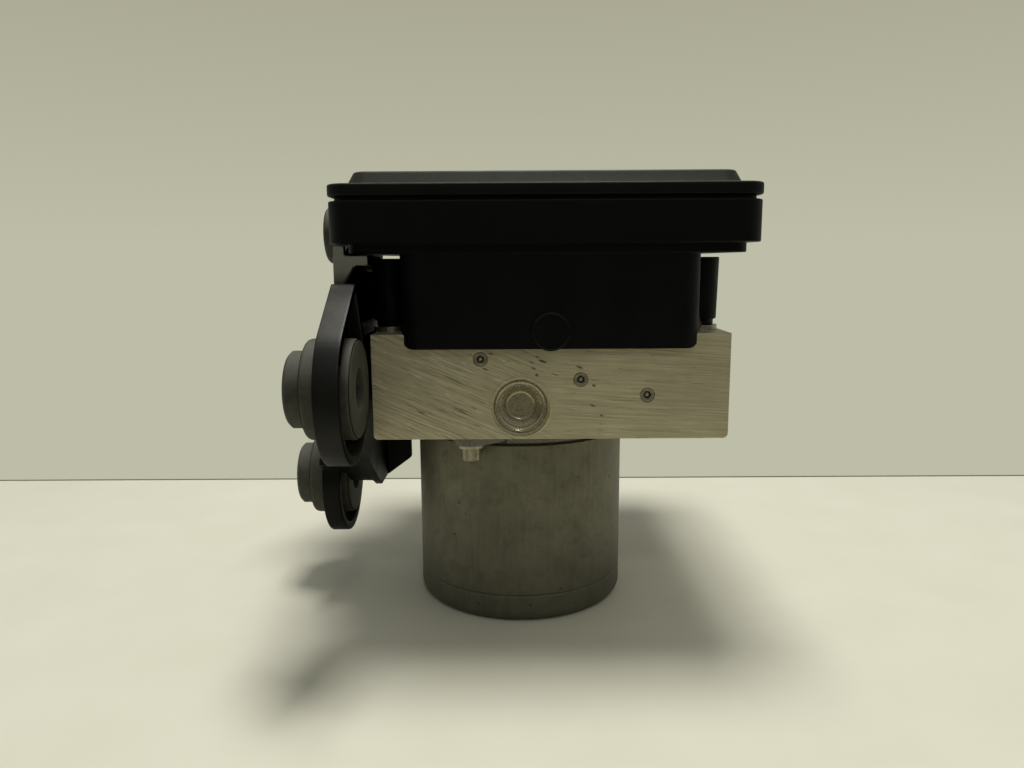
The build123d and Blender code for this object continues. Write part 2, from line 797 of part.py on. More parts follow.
insert_hole_top = block_top + insert_flange_thickness + insert_length
connector_bottom = box_bottom - connector_drop
coil_case_cavity_width = coil_case_width - 2 * coil_case_wall
coil_case_cavity_depth = coil_case_depth - 2 * coil_case_wall
mouth_front_y = skirt_inner_y + seal_land
mouth_back_y = coil_case_back_y - coil_case_wall
seal_front_y = (block_front + mouth_front_y) / 2
seal_back_y = coil_case_back_y - coil_case_wall / 2
seal_loop_width = coil_case_width - coil_case_wall
seal_loop_depth = seal_back_y - seal_front_y
seal_centre_y = (seal_back_y + seal_front_y) / 2
seal_corner_radius = coil_case_radius - coil_case_wall / 2
power_pin_x = ecu_centre_x + connector_width / 2 - connector_wall - power_pin_margin
signal_centre_x = ecu_centre_x + (signal_left_margin - signal_right_margin) / 2
signal_field = connector_width - 2 * connector_wall - signal_left_margin - signal_right_margin
pin_pitch = signal_field / (pin_columns - 1)

# One moulding: the board's tray, the step under it, the coil case, four screw towers and
# the connector's shroud, which hangs behind the block.
with BuildPart() as ecu_housing:
    # coil case, whose front wall carries on down over the block's front edge
    with BuildSketch(Plane.XZ.offset(-coil_case_back_y)):
        with Locations((coil_case_centre_x, (step_bottom + skirt_bottom) / 2)):
            Rectangle(coil_case_width, step_bottom - skirt_bottom)
        fillet(vertices().group_by(Axis.Y)[0], skirt_corner_radius)
    extrude(amount=coil_case_depth)
    with BuildSketch(Plane.XY.offset(skirt_bottom)):
        with Locations((coil_case_centre_x, coil_case_centre_y)):
            RectangleRounded(coil_case_width, coil_case_depth, coil_case_radius)
    extrude(amount=step_bottom - skirt_bottom, mode=Mode.INTERSECT)
    with BuildSketch(Plane.XY.offset(block_top)):
        with Locations((coil_case_centre_x, skirt_inner_y + coil_case_depth / 2)):
            Rectangle(coil_case_width, coil_case_depth)
    extrude(amount=-skirt_drop, mode=Mode.SUBTRACT)
    # board tray and the neck that carries the lid
    with BuildSketch(Plane.XY.offset(box_bottom)):
        with Locations((ecu_centre_x, ecu_centre_y)):
            RectangleRounded(ecu_width, ecu_depth, ecu_corner_radius)
    extrude(amount=box_height)
    with BuildSketch(Plane.XY.offset(box_top)):
        with Locations((ecu_centre_x, ecu_centre_y)):
            RectangleRounded(
                ecu_width - 2 * neck_inset, ecu_depth - 2 * neck_inset, ecu_corner_radius - neck_inset
            )
    extrude(amount=neck_height)
    with BuildSketch(Plane.XY.offset(step_bottom)):
        with Locations((step_centre_x, ecu_front_y + step_front_inset + step_depth / 2)):
            RectangleRounded(step_width, step_depth, step_corner_radius)
    extrude(amount=step_height)
    # round moulded boss low on the case's front wall
    with BuildSketch(Plane.XZ.offset(-coil_case_front_y + boss_relief)):
        with Locations((boss_x, block_top + boss_height_over_block)):
            Circle(boss_diameter / 2)
    extrude(amount=coil_case_front_y - skirt_inner_y - boss_relief)
    # screw towers, drafted, necked at the foot and free of the step above them
    for site_x, site_y in tower_sites:
        with BuildSketch(Plane(origin=(site_x, site_y, 0), x_dir=(1, 0, 0), z_dir=(0, -1, 0))):
            with BuildLine():
                foot_z = block_top + insert_flange_thickness
                Polyline(
                    (0, foot_z),
                    (tower_neck_diameter / 2, foot_z),
                    (tower_neck_diameter / 2, foot_z + tower_foot_neck),
                    (tower_foot_diameter / 2, foot_z + tower_foot_neck),
                    (tower_top_diameter / 2, step_bottom - tower_top_gap),
                    (0, step_bottom - tower_top_gap),
                    (0, foot_z),
                )
            make_face()
        revolve(axis=Axis((site_x, site_y, 0), (0, 0, 1)))
    # connector shroud
    with BuildSketch(Plane.XY.offset(connector_bottom)):
        with Locations((ecu_centre_x, connector_centre_y)):
            RectangleRounded(connector_width, connector_depth, connector_radius)
    extrude(amount=connector_drop)
    # the hollow of the tray and of the coil case
    with BuildSketch(Plane.XY.offset(box_bottom + ecu_floor)):
        with Locations((ecu_centre_x, ecu_centre_y)):
            RectangleRounded(
                ecu_width - 2 * (neck_inset + neck_wall),
                ecu_depth - 2 * (neck_inset + neck_wall),
                ecu_corner_radius - neck_inset - neck_wall + 1.5,
            )
    extrude(amount=box_height + neck_height, mode=Mode.SUBTRACT)
    with BuildSketch(Plane.XY.offset(block_top + seal_land_height)):
        with Locations((coil_case_centre_x, coil_case_centre_y)):
            RectangleRounded(
                coil_case_cavity_width, coil_case_cavity_depth, coil_case_radius - coil_case_wall
            )
    extrude(amount=box_bottom + ecu_floor - block_top - seal_land_height, mode=Mode.SUBTRACT)
    with BuildSketch(Plane.XY.offset(block_top)):
        with Locations((coil_case_centre_x, (mouth_front_y + mouth_back_y) / 2)):
            RectangleRounded(
                coil_case_cavity_width, mouth_back_y - mouth_front_y, coil_case_radius - coil_case_wall
            )
    extrude(amount=seal_land_height, mode=Mode.SUBTRACT)
    # connector socket, open downwards
    with BuildSketch(Plane.XY.offset(connector_bottom)):
        with Locations((ecu_centre_x, connector_centre_y)):
            RectangleRounded(
                connector_width - 2 * connector_wall,
                connector_depth - 2 * connector_wall,
                connector_radius - connector_wall,
            )
    extrude(amount=connector_drop, mode=Mode.SUBTRACT)
    # slots for the pins in the socket's floor
    with BuildSketch(Plane.XY.offset(box_bottom)):
        with Locations((signal_centre_x, connector_centre_y)):
            with GridLocations(pin_pitch, pin_row_pitch, pin_columns, pin_rows):
                Rectangle(pin_size, pin_size)
        with Locations((power_pin_x, connector_centre_y)):
            with GridLocations(1, power_pin_pitch, 1, 2):
                Rectangle(power_pin_width, power_pin_thickness)
    extrude(amount=ecu_floor, mode=Mode.SUBTRACT)
    # seats for the threaded inserts in the towers, and the seal's groove
    for site in tower_sites:
        with BuildSketch(Plane.XY.offset(block_top + insert_flange_thickness)):
            with Locations(site):
                Circle(insert_diameter / 2)
        extrude(amount=insert_length, mode=Mode.SUBTRACT)
    groove_half = seal_width / 2 + seal_groove_margin
    with BuildSketch(Plane.XY.offset(block_top)):
        with Locations((coil_case_centre_x, seal_centre_y)):
            RectangleRounded(
                seal_loop_width + 2 * groove_half,
                seal_loop_depth + 2 * groove_half,
                seal_corner_radius + groove_half,
            )
            RectangleRounded(
                seal_loop_width - 2 * groove_half,
                seal_loop_depth - 2 * groove_half,
                seal_corner_radius - groove_half,
                mode=Mode.SUBTRACT,
            )
    extrude(amount=seal_height + seal_groove_margin, mode=Mode.SUBTRACT)
    # posts that the circuit board rests on
    with BuildSketch(Plane.XY.offset(box_bottom + ecu_floor)):
        with Locations((ecu_centre_x, ecu_centre_y)):
            with GridLocations(board_width - 2 * board_post_inset, board_depth - 2 * board_post_inset, 2, 2):
                Circle(board_post_diameter / 2)
    extrude(amount=board_post_height)
finish(ecu_housing, "ecu_housing")

# Lid with a flange all round and a raised panel with sloping sides.
with BuildPart() as ecu_cover:
    with BuildSketch(Plane.XY.offset(cover_bottom)):
        with Locations((ecu_centre_x, ecu_centre_y)):
            RectangleRounded(
                ecu_width + 2 * cover_margin, ecu_depth + 2 * cover_margin, ecu_corner_radius
            )
    extrude(amount=cover_flange_thickness)
    with BuildSketch(Plane.XY.offset(cover_flange_top)):
        with Locations((ecu_centre_x, ecu_centre_y)):
            RectangleRounded(
                ecu_width - 2 * cover_panel_inset,
                ecu_depth - 2 * cover_panel_inset,
                ecu_corner_radius,
            )
    extrude(amount=cover_panel_height, taper=cover_panel_taper)
    fillet(faces().sort_by(Axis.Z)[-1].edges(), cover_panel_edge_radius)
    with BuildSketch(Plane.XY.offset(cover_bottom)):
        with Locations((ecu_centre_x, ecu_centre_y)):
            RectangleRounded(
                ecu_width - 2 * (cover_panel_inset + 4),
                ecu_depth - 2 * (cover_panel_inset + 4),
                ecu_corner_radius - cover_wall,
            )
    extrude(
        amount=cover_flange_thickness + cover_panel_height - cover_wall, mode=Mode.SUBTRACT
    )
finish(ecu_cover, "ecu_cover")

# Rubber seal ring in the coil case's lower edge.
with BuildPart() as housing_seal:
    with BuildSketch(Plane.XY.offset(block_top)):
        with Locations((coil_case_centre_x, seal_centre_y)):
            RectangleRounded(
                seal_loop_width + seal_width,
                seal_loop_depth + seal_width,
                seal_corner_radius + seal_width / 2,
            )
            RectangleRounded(
                seal_loop_width - seal_width,
                seal_loop_depth - seal_width,
                seal_corner_radius - seal_width / 2,
                mode=Mode.SUBTRACT,
            )
    extrude(amount=seal_height)
finish(housing_seal, "housing_seal")

# Circuit board with its largest components soldered on.
board_bottom = box_bottom + ecu_floor + board_post_height
board_top = board_bottom + board_thickness
component_shift_y = -8.0
component_sizes = [
    (-20, -20, 22, 22, 1.6),
    (18, -25, 16, 16, 1.6),
    (25, 22, 12, 10, 4.0),
    (-28, 20, 10, 10, 4.0),
]
with BuildPart() as circuit_board:
    with BuildSketch(Plane.XY.offset(board_bottom)):
        with Locations((ecu_centre_x, ecu_centre_y)):
            RectangleRounded(board_width, board_depth, 2.0)
        with Locations((signal_centre_x, connector_centre_y)):
            with GridLocations(pin_pitch, pin_row_pitch, pin_columns, pin_rows):
                Rectangle(pin_size, pin_size, mode=Mode.SUBTRACT)
        with Locations((power_pin_x, connector_centre_y)):
            with GridLocations(1, power_pin_pitch, 1, 2):
                Rectangle(power_pin_width, power_pin_thickness, mode=Mode.SUBTRACT)
    extrude(amount=board_thickness)
    for part_x, part_y, part_width, part_depth, part_height in component_sizes:
        with BuildSketch(Plane.XY.offset(board_top)):
            with Locations((ecu_centre_x + part_x, ecu_centre_y + component_shift_y + part_y)):
                Rectangle(part_width, part_depth)
        extrude(amount=part_height)
finish(circuit_board, "circuit_board")

# Signal and power pins, from the socket up through the board.
with BuildPart() as connector_pins:
    with BuildSketch(Plane.XY.offset(box_bottom - pin_length)):
        with Locations((signal_centre_x, connector_centre_y)):
            with GridLocations(pin_pitch, pin_row_pitch, pin_columns, pin_rows):
                Rectangle(pin_size, pin_size)
        with Locations((power_pin_x, connector_centre_y)):
            with GridLocations(1, power_pin_pitch, 1, 2):
                Rectangle(power_pin_width, power_pin_thickness)
    extrude(amount=board_top - box_bottom + pin_length)
finish(connector_pins, "connector_pins")

# Contact post that carries the motor's current up through the block to the board.
with BuildPart() as contact_post:
    with BuildSketch(Plane.XY.offset(brush_plate_z)):
        with Locations((contact_x, contact_y)):
            Circle(contact_diameter / 2)
    extrude(amount=board_bottom - contact_gap - brush_plate_z)
finish(contact_post, "contact_post")

# Flanged steel inserts moulded into the foot of each tower.
with BuildPart() as tower_inserts:
    with BuildSketch(Plane.XY.offset(block_top)):
        with Locations(*tower_sites):
            Circle(insert_flange_diameter / 2)
    extrude(amount=insert_flange_thickness)
    with BuildSketch(Plane.XY.offset(block_top + insert_flange_thickness)):
        with Locations(*tower_sites):
            Circle(insert_diameter / 2)
    extrude(amount=insert_length)
    with BuildSketch(Plane.XY.offset(block_top)):
        with Locations(*tower_sites):
            Circle(ecu_screw_diameter / 2 + fit_clearance)
    extrude(amount=insert_flange_thickness + insert_length - 1, mode=Mode.SUBTRACT)
    # a flat on the flanges that reach the coil case
    with BuildSketch(Plane.XY.offset(block_top)):
        with Locations((coil_case_centre_x, coil_case_centre_y)):
            Rectangle(coil_case_width + 2 * fit_clearance, coil_case_depth)
    extrude(amount=insert_flange_thickness, mode=Mode.SUBTRACT)
finish(tower_inserts, "tower_inserts")

# Four long screws, their heads sunk in the block's underside, up into the inserts.
screw_seat_z = block_bottom + ecu_screw_recess
screw_head_z = screw_seat_z - ecu_screw_head_height
with BuildPart() as ecu_screws:
    with BuildSketch(Plane.XY.offset(screw_seat_z)):
        with Locations(*tower_sites):
            Circle(ecu_screw_diameter / 2)
    extrude(amount=block_top + insert_flange_thickness + insert_length - 3 - screw_seat_z)
    with BuildSketch(Plane.XY.offset(screw_head_z)):
        with Locations(*tower_sites):
            Circle(ecu_screw_head_diameter / 2)
    extrude(amount=ecu_screw_head_height)
    with BuildSketch(Plane.XY.offset(screw_head_z)):
        with Locations(*tower_sites):
            RegularPolygon(ecu_screw_diameter / 2, 6)
    extrude(amount=ecu_screw_head_height / 2, mode=Mode.SUBTRACT)
finish(ecu_screws, "ecu_screws")

# ================= bracket and rubber mounts =================

grommet_hole_radius = grommet_waist_diameter / 2 + grommet_hole_clearance
web_right_x = middle_web_x + sheet
shelf_bottom_z = shelf_top_z - sheet
arm_front_y = cup_tip_y + 2.3
ledge_bottom_z = ledge_top_z - sheet

joggle_inner_x = (middle_web_x + lower_web_x) / 2

# Fold of the lower joggle, where the middle web turns left towards the lower eye.
fold_top = (-26.0, 51.0)
fold_end = (-4.0, 36.4)
fold_length = math.hypot(fold_end[0] - fold_top[0], fold_end[1] - fold_top[1])
fold_plane = Plane(
    origin=(0, fold_top[0], fold_top[1]),
    x_dir=(1, 0, 0),
    z_dir=(0, (fold_top[1] - fold_end[1]) / fold_length, (fold_end[0] - fold_top[0]) / fold_length),
)

# Pressed steel bracket: a cupped middle eye in front of the block, a web along the block's
# left face, a shelf and an upper eye beside the control unit, and a lower eye beside the motor.
with BuildPart() as bracket:
    # middle cup, a drop-shaped rim round the middle eye
    with BuildSketch(Plane.YZ.offset(middle_web_x)):
        with Locations((cup_centre_y, middle_z)):
            Circle(cup_radius)
        with Locations((cup_tip_y, cup_tip_z)):
            Circle(cup_tip_radius)
        make_hull()
    extrude(amount=cup_depth)
    with BuildSketch(Plane.YZ.offset(web_right_x)):
        with Locations((cup_centre_y, middle_z)):
            Circle(cup_radius - sheet)
        with Locations((cup_tip_y, cup_tip_z)):
            Circle(cup_tip_radius - sheet)
        make_hull()
    extrude(amount=cup_depth - sheet, mode=Mode.SUBTRACT)
    # web along the block's left face and the tongue under it
    with BuildSketch(Plane.YZ.offset(middle_web_x)):
        with BuildLine():
            Polyline(
                (web_cup_y, web_cup_z),
                fold_top,
                fold_end,
                (2.0, tongue_bottom_z),
                (tongue_back_y, tongue_bottom_z),
                (tongue_back_y, web_foot_z),
                (bracket_back_y, web_foot_z),
                (bracket_back_y, ledge_top_z),
                (web_front_y, ledge_top_z),
                (web_front_y, shelf_top_z),
                (arm_front_y, shelf_top_z),
                (arm_front_y, middle_z),
                (web_cup_y, web_cup_z),
            )
        make_face()
    extrude(amount=sheet)
    # front plate of the upper arm, up to the control unit, with a slanted gusset under the shelf
    with BuildSketch(Plane.XZ.offset(-arm_front_y)):
        with BuildLine():
            Polyline(
                (middle_web_x, plate_foot_z),
                (web_right_x, plate_foot_z),
                (plate_slant_x, shelf_bottom_z),
                (shelf_right_x, shelf_bottom_z),
                (shelf_right_x, shelf_top_z),
                (plate_right_x, shelf_top_z),
                (plate_right_x, plate_top_z),
                (middle_web_x, plate_top_z),
                (middle_web_x, plate_foot_z),
            )
        make_face()
    extrude(amount=-sheet)
    # shelf under the control unit's left edge
    with BuildSketch(Plane.XY.offset(shelf_bottom_z)):
        with BuildLine():
            Polyline(
                (shelf_right_x, arm_front_y),
                (middle_web_x, arm_front_y),
                (upper_web_x, upper_web_front_y),
                (upper_web_x, shelf_back_y),
                (web_right_x, shelf_back_y),
                (web_right_x, shelf_inner_y),
                (shelf_right_x, shelf_inner_y),
                (shelf_right_x, arm_front_y),
            )
        make_face()
    extrude(amount=sheet)
    # small moulded-on stop on the cup's outer side
    with BuildSketch(Plane.YZ.offset(middle_web_x)):
        with Locations((stop_y, stop_z)):
            Circle(stop_radius)
    extrude(amount=-stop_height)
    # upper web beside the control unit, round the upper eye
    with BuildSketch(Plane.YZ.offset(upper_web_x)):
        with BuildLine():
            Polyline(
                (upper_web_front_y, ledge_bottom_z),
                (bracket_back_y, ledge_bottom_z),
                (upper_y + upper_eye_radius, upper_z),
                (upper_y - upper_eye_radius, upper_z),
                (upper_web_front_y, shelf_top_z),
                (upper_web_front_y, ledge_bottom_z),
            )
        make_face()
        with Locations((upper_y, upper_z)):
            Circle(upper_eye_radius)
    extrude(amount=sheet)
    # ledge that joins the middle web's top edge to the upper web
    with BuildSketch(Plane.XY.offset(ledge_bottom_z)):
        with BuildLine():
            Polyline(
                (web_right_x, slant_front_y + slant_depth),
                (middle_web_x, slant_front_y),
                (upper_web_x, upper_web_front_y),
                (upper_web_x, bracket_back_y),
                (web_right_x, bracket_back_y),
                (web_right_x, slant_front_y + slant_depth),
            )
        make_face()
    extrude(amount=sheet)
    # slanted wall from the middle web back to the upper web
    with BuildSketch(Plane.XY.offset(ledge_bottom_z)):
        with BuildLine():
            Polyline(
                (middle_web_x, slant_front_y),
                (web_right_x, slant_front_y + slant_depth),
                (upper_web_x + sheet, upper_web_front_y + slant_depth),
                (upper_web_x, upper_web_front_y),
                (middle_web_x, slant_front_y),
            )
        make_face()
    extrude(amount=shelf_top_z - ledge_bottom_z)
    # joggle from the tongue's front edge left to the lower eye
    with BuildSketch(fold_plane):
        with BuildLine():
            Polyline(
                (web_right_x, 0),
                (middle_web_x, 0),
                (joggle_inner_x, joggle_run),
                (lower_web_x, joggle_run),
                (lower_web_x, joggle_turn),
                (joggle_inner_x, joggle_turn),
                (joggle_inner_x, fold_length),
                (web_right_x, fold_length),
                (web_right_x, 0),
            )
        make_face()
    extrude(amount=sheet)
    # lower eye and its rim
    with BuildSketch(Plane.YZ.offset(lower_web_x)):
        with Locations((lower_y, lower_z)):
            Circle(lower_eye_radius)
    extrude(amount=lower_rim_depth)
    with BuildSketch(Plane.YZ.offset(lower_web_x + sheet)):
        with Locations((lower_y, lower_z)):
            Circle(lower_eye_radius - sheet)
    extrude(amount=lower_rim_depth - sheet, mode=Mode.SUBTRACT)
    # stiffening gusset across the tongue's back edge
    with BuildSketch(Plane.XZ.offset(-tongue_back_y)):
        with BuildLine():
            Polyline(
                (middle_web_x, block_bottom - contact_gap),
                (gusset_right_x, block_bottom - contact_gap),
                (gusset_right_x, gusset_corner_z),
                (web_right_x, tongue_bottom_z),
                (middle_web_x, tongue_bottom_z),
                (middle_web_x, block_bottom - contact_gap),
            )
        make_face()
    extrude(amount=sheet)
    # dimples that seat on the block, with their bolt holes
    with BuildSketch(Plane.YZ.offset(web_right_x)):
        with Locations(*bracket_bolt_sites):
            Circle(dimple_diameter / 2)
    extrude(amount=block_left - web_right_x)
    with BuildSketch(Plane.YZ.offset(middle_web_x)):
        with Locations(*bracket_bolt_sites):
            Circle(dimple_diameter / 2 - sheet)
    extrude(amount=block_left - sheet - middle_web_x, mode=Mode.SUBTRACT)
    with BuildSketch(Plane.YZ.offset(middle_web_x)):
        with Locations(*bracket_bolt_sites):
            Circle(bracket_bolt_hole_diameter / 2)
    extrude(amount=block_left - middle_web_x, mode=Mode.SUBTRACT)
    # the three eyes
    for web_x, eye_y, eye_z in (
        (middle_web_x, middle_y, middle_z),
        (lower_web_x, lower_y, lower_z),
        (upper_web_x, upper_y, upper_z),
    ):
        with BuildSketch(Plane.YZ.offset(web_x)):
            with Locations((eye_y, eye_z)):
                Circle(grommet_hole_radius)
        extrude(amount=sheet, mode=Mode.SUBTRACT)
finish(bracket, "bracket")

# Flanged hexagon bolts in the dimples.
with BuildPart() as bracket_bolts:
    bolt_head_x = block_left - sheet
    with BuildSketch(Plane.YZ.offset(bolt_head_x)):
        with Locations(*bracket_bolt_sites):
            Circle(bracket_bolt_diameter / 2)
    extrude(amount=sheet + bracket_bolt_depth - 1)
    with BuildSketch(Plane.YZ.offset(bolt_head_x)):
        with Locations(*bracket_bolt_sites):
            Circle(bracket_bolt_flange_diameter / 2)
    extrude(amount=-bracket_bolt_flange_thickness)
    with BuildSketch(Plane.YZ.offset(bolt_head_x)):
        with Locations(*bracket_bolt_sites):
            RegularPolygon(bracket_bolt_head_diameter / 2, 6, major_radius=False)
    extrude(amount=-bracket_bolt_head_height)
finish(bracket_bolts, "bracket_bolts")


def grommet(web_x, eye_y, eye_z):
    """Rubber mount: a nose and a flange left of the web, a waist in the eye, a flange right of it."""
    left_flange_x = web_x - grommet_left_length
    nose_x = left_flange_x - grommet_nose_length
    right_x = web_x + sheet + grommet_right_length
    bore = eye_y + grommet_bore_diameter / 2
    nose = eye_y + grommet_nose_diameter / 2
    rim = eye_y + grommet_flange_diameter / 2
    waist = eye_y + grommet_waist_diameter / 2
    ease = grommet_edge_radius
    with BuildPart() as mount:
        with BuildSketch(Plane.XY.offset(eye_z)):
            with BuildLine():
                Polyline(
                    (nose_x, bore),
                    (nose_x, nose - ease),
                    (nose_x + ease, nose),
                    (left_flange_x, nose),
                    (left_flange_x, rim - ease),
                    (left_flange_x + ease, rim),
                    (web_x, rim),
                    (web_x, waist),
                    (web_x + sheet, waist),
                    (web_x + sheet, rim),
                    (right_x - ease, rim),
                    (right_x, rim - ease),
                    (right_x, bore),
                    (nose_x, bore),
                )
            make_face()
        revolve(axis=Axis((0, eye_y, eye_z), (1, 0, 0)))
    return mount


finish(grommet(middle_web_x, middle_y, middle_z), "grommet_middle")
finish(grommet(lower_web_x, lower_y, lower_z), "grommet_lower")
finish(grommet(upper_web_x, upper_y, upper_z), "grommet_upper")

# Needle ring that rolls on the eccentric journal and pushes the pump pistons.
with BuildPart() as eccentric_ring:
    with BuildSketch(Plane.XY.offset(pump_z - ring_length / 2)):
        with Locations((eccentricity, 0)):
            Circle(ring_outer_diameter / 2)
            Circle(journal_diameter / 2 + running_clearance, mode=Mode.SUBTRACT)
    extrude(amount=ring_length)
finish(eccentric_ring, "eccentric_ring")
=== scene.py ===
import math

import bmesh
import bpy
from mathutils import Matrix, Vector


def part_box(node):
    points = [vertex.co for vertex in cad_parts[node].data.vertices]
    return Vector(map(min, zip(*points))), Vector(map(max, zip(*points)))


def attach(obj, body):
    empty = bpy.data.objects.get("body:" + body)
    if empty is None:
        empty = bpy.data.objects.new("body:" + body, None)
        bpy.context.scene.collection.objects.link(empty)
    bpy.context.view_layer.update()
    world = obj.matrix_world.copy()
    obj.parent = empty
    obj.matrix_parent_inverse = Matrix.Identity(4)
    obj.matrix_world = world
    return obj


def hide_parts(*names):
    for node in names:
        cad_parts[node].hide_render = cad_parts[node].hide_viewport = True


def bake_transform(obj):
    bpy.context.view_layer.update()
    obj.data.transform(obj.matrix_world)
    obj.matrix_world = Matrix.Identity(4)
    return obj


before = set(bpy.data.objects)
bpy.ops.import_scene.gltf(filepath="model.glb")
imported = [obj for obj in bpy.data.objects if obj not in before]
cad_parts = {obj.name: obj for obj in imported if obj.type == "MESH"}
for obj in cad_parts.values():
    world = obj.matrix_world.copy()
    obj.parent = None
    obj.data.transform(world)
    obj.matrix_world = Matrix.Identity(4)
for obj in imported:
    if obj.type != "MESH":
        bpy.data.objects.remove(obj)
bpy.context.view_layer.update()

MM = 0.001

# ---- sizes that the added pieces share with the solids, in millimetres ----
BLOCK_LOW, BLOCK_HIGH = ([c / MM for c in corner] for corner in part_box("valve_block"))
BLOCK_RIGHT, BLOCK_BACK, BLOCK_BOTTOM = BLOCK_HIGH[0], BLOCK_HIGH[1], BLOCK_LOW[2]
PUMP_Z = 68.1
PUMP_MOUTH_RADIUS = 8.2
PUMP_MOUTH_DEPTH = 1.3
PLUG_RADIUS = 7.4
PLUG_SEAT_DEPTH = 4.55
PLUG_DISH_DEPTH = 2.6
PLUG_BEAD_HALF_WIDTH = 0.33
PLUG_BEAD_HEIGHT = 0.22
STAKING_RING_GAP = 0.22
STAKING_RING_SINK = 0.06
STAKING_RING_THICK = 0.3
BOSS_SITE = (8.3, 89.4)
BOSS_RADIUS = 4.95
BOSS_FACE = 44.9
BOSS_RIM_THICK = 0.28
EXPANDER_SITES = [(-11.1, 81.7), (16.7, 75.9), (35.2, 71.5)]
EXPANDER_LIP_DEPTH = 0.25
EXPANDER_BALL_SINK = 0.75
WHEEL_PORT_YS = [-36.3, -12.1, 12.1, 36.3]
WHEEL_PORT_Z = 76.0
WHEEL_PORT_RADIUS = 4.5
WHEEL_PORT_TURNS = 9.0
INLET_SITES = [(44.5, -14.0), (44.5, 14.0)]
INLET_RADIUS = 5.45
INLET_TURNS = 8.0
THREAD_PITCH = 1.0
THREAD_RIDGE = 0.3
# how far back the floor meets the wall
FLOOR_EDGE = 123.7
FLOOR_REACH = 6000
# stains on the block's front: (x, z, length, height)
SMUDGES = [
    (-8.3, 83.2, 2.8, 0.8),
    (-9.7, 78.9, 3.0, 0.6),
    (4.7, 82.3, 2.0, 0.7),
    (6.1, 81.0, 3.4, 1.0),
    (3.0, 80.8, 2.2, 0.6),
    (3.6, 79.1, 2.4, 0.8),
    (4.5, 77.2, 1.4, 1.2),
    (9.3, 77.4, 3.4, 0.4),
    (16.3, 79.3, 3.2, 1.0),
    (20.3, 74.2, 1.6, 1.0),
    (20.0, 68.6, 2.2, 0.7),
    (22.5, 65.7, 1.4, 0.7),
]


# ================= materials =================

# the rays that a node sends out to find an edge or a corner
RAYS = 6

# a Mix node takes its share in input 0 and its two colours in inputs 6 and 7


def linear(code):
    """Linear RGBA from an sRGB hex code."""
    out = []
    for i in (1, 3, 5):
        c = int(code[i : i + 2], 16) / 255
        out.append(c / 12.92 if c <= 0.04045 else ((c + 0.055) / 1.055) ** 2.4)
    return (*out, 1.0)


def connect(tree, value, socket):
    """Give an input a value or a hex code, or link it from a socket or from a node's first output in use."""
    if isinstance(value, bpy.types.Node):
        value = next(output for output in value.outputs if output.enabled)
    if isinstance(value, bpy.types.NodeSocket):
        tree.links.new(value, socket)
    else:
        socket.default_value = linear(value) if isinstance(value, str) else value


def add(tree, kind, links=None, stops=(), **settings):
    """Add a node. settings are its properties, stops are (position, grey or hex code) on its colour ramp, and
    links gives its inputs what connect takes."""
    made = tree.nodes.new(kind)
    for name, value in settings.items():
        setattr(made, name, value)
    while stops and len(made.color_ramp.elements) < len(stops):
        made.color_ramp.elements.new(0.5)
    for i, (position, value) in enumerate(stops):
        element = made.color_ramp.elements[i]
        element.position = position
        element.color = linear(value) if isinstance(value, str) else (value, value, value, 1)
    for name, value in (links or {}).items():
        connect(tree, value, made.inputs[name])
    return made


def place(tree, scale=(1, 1, 1), turn=(0, 0, 0), shift=(0, 0, 0)):
    """Object coordinates in millimetres, turned first and then stretched."""
    coords = add(tree, "ShaderNodeTexCoord")
    mapping = add(
        tree,
        "ShaderNodeMapping",
        {
            "Vector": coords.outputs["Object"],
            "Scale": [MM / s for s in scale],
            "Rotation": turn,
            "Location": [MM * s for s in shift],
        },
        vector_type="TEXTURE",
    )
    return mapping.outputs["Vector"]


def grains(tree, size_mm, detail=3.0, rough=0.5, seed=0.0, **spread):
    """A cloudy pattern on the piece, with grains about size_mm across. spread is what place takes."""
    made = add(
        tree,
        "ShaderNodeTexNoise",
        {
            "Vector": place(tree, **{"shift": (seed, seed * 1.7, seed * 0.6), **spread}),
            "Scale": 1.0 / size_mm,
            "Detail": detail,
            "Roughness": rough,
        },
    )
    return made.outputs["Fac"]


def axis_mm(tree, axis):
    """One object coordinate in millimetres."""
    coords = add(tree, "ShaderNodeTexCoord")
    parts = add(tree, "ShaderNodeSeparateXYZ", {0: coords.outputs["Object"]})
    return add(tree, "ShaderNodeMath", {0: parts.outputs[axis], 1: 1 / MM}, operation="MULTIPLY")


def edge_wear(tree, radius_mm, low=0.04, high=0.35):
    """White along sharp edges, black on flats."""
    bevel = add(tree, "ShaderNodeBevel", {"Radius": radius_mm * MM}, samples=RAYS)
    flat = add(tree, "ShaderNodeNewGeometry")
    dot = add(
        tree,
        "ShaderNodeVectorMath",
        {0: bevel.outputs["Normal"], 1: flat.outputs["Normal"]},
        operation="DOT_PRODUCT",
    )
    away = add(tree, "ShaderNodeMath", {0: 1.0, 1: dot.outputs["Value"]}, operation="SUBTRACT")
    return add(tree, "ShaderNodeValToRGB", {"Fac": away}, [(low, 0.0), (high, 1.0)])


def facing(tree, axis, low, high, sense=1.0):
    """White where a face looks along an axis, or against it where sense is -1."""
    flat = add(tree, "ShaderNodeNewGeometry")
    parts = add(tree, "ShaderNodeSeparateXYZ", {0: flat.outputs["True Normal"]})
    return add(
        tree,
        "ShaderNodeValToRGB",
        {"Fac": add(tree, "ShaderNodeMath", {0: parts.outputs[axis], 1: sense}, operation="MULTIPLY")},
        [(low, 0.0), (high, 1.0)],
    )


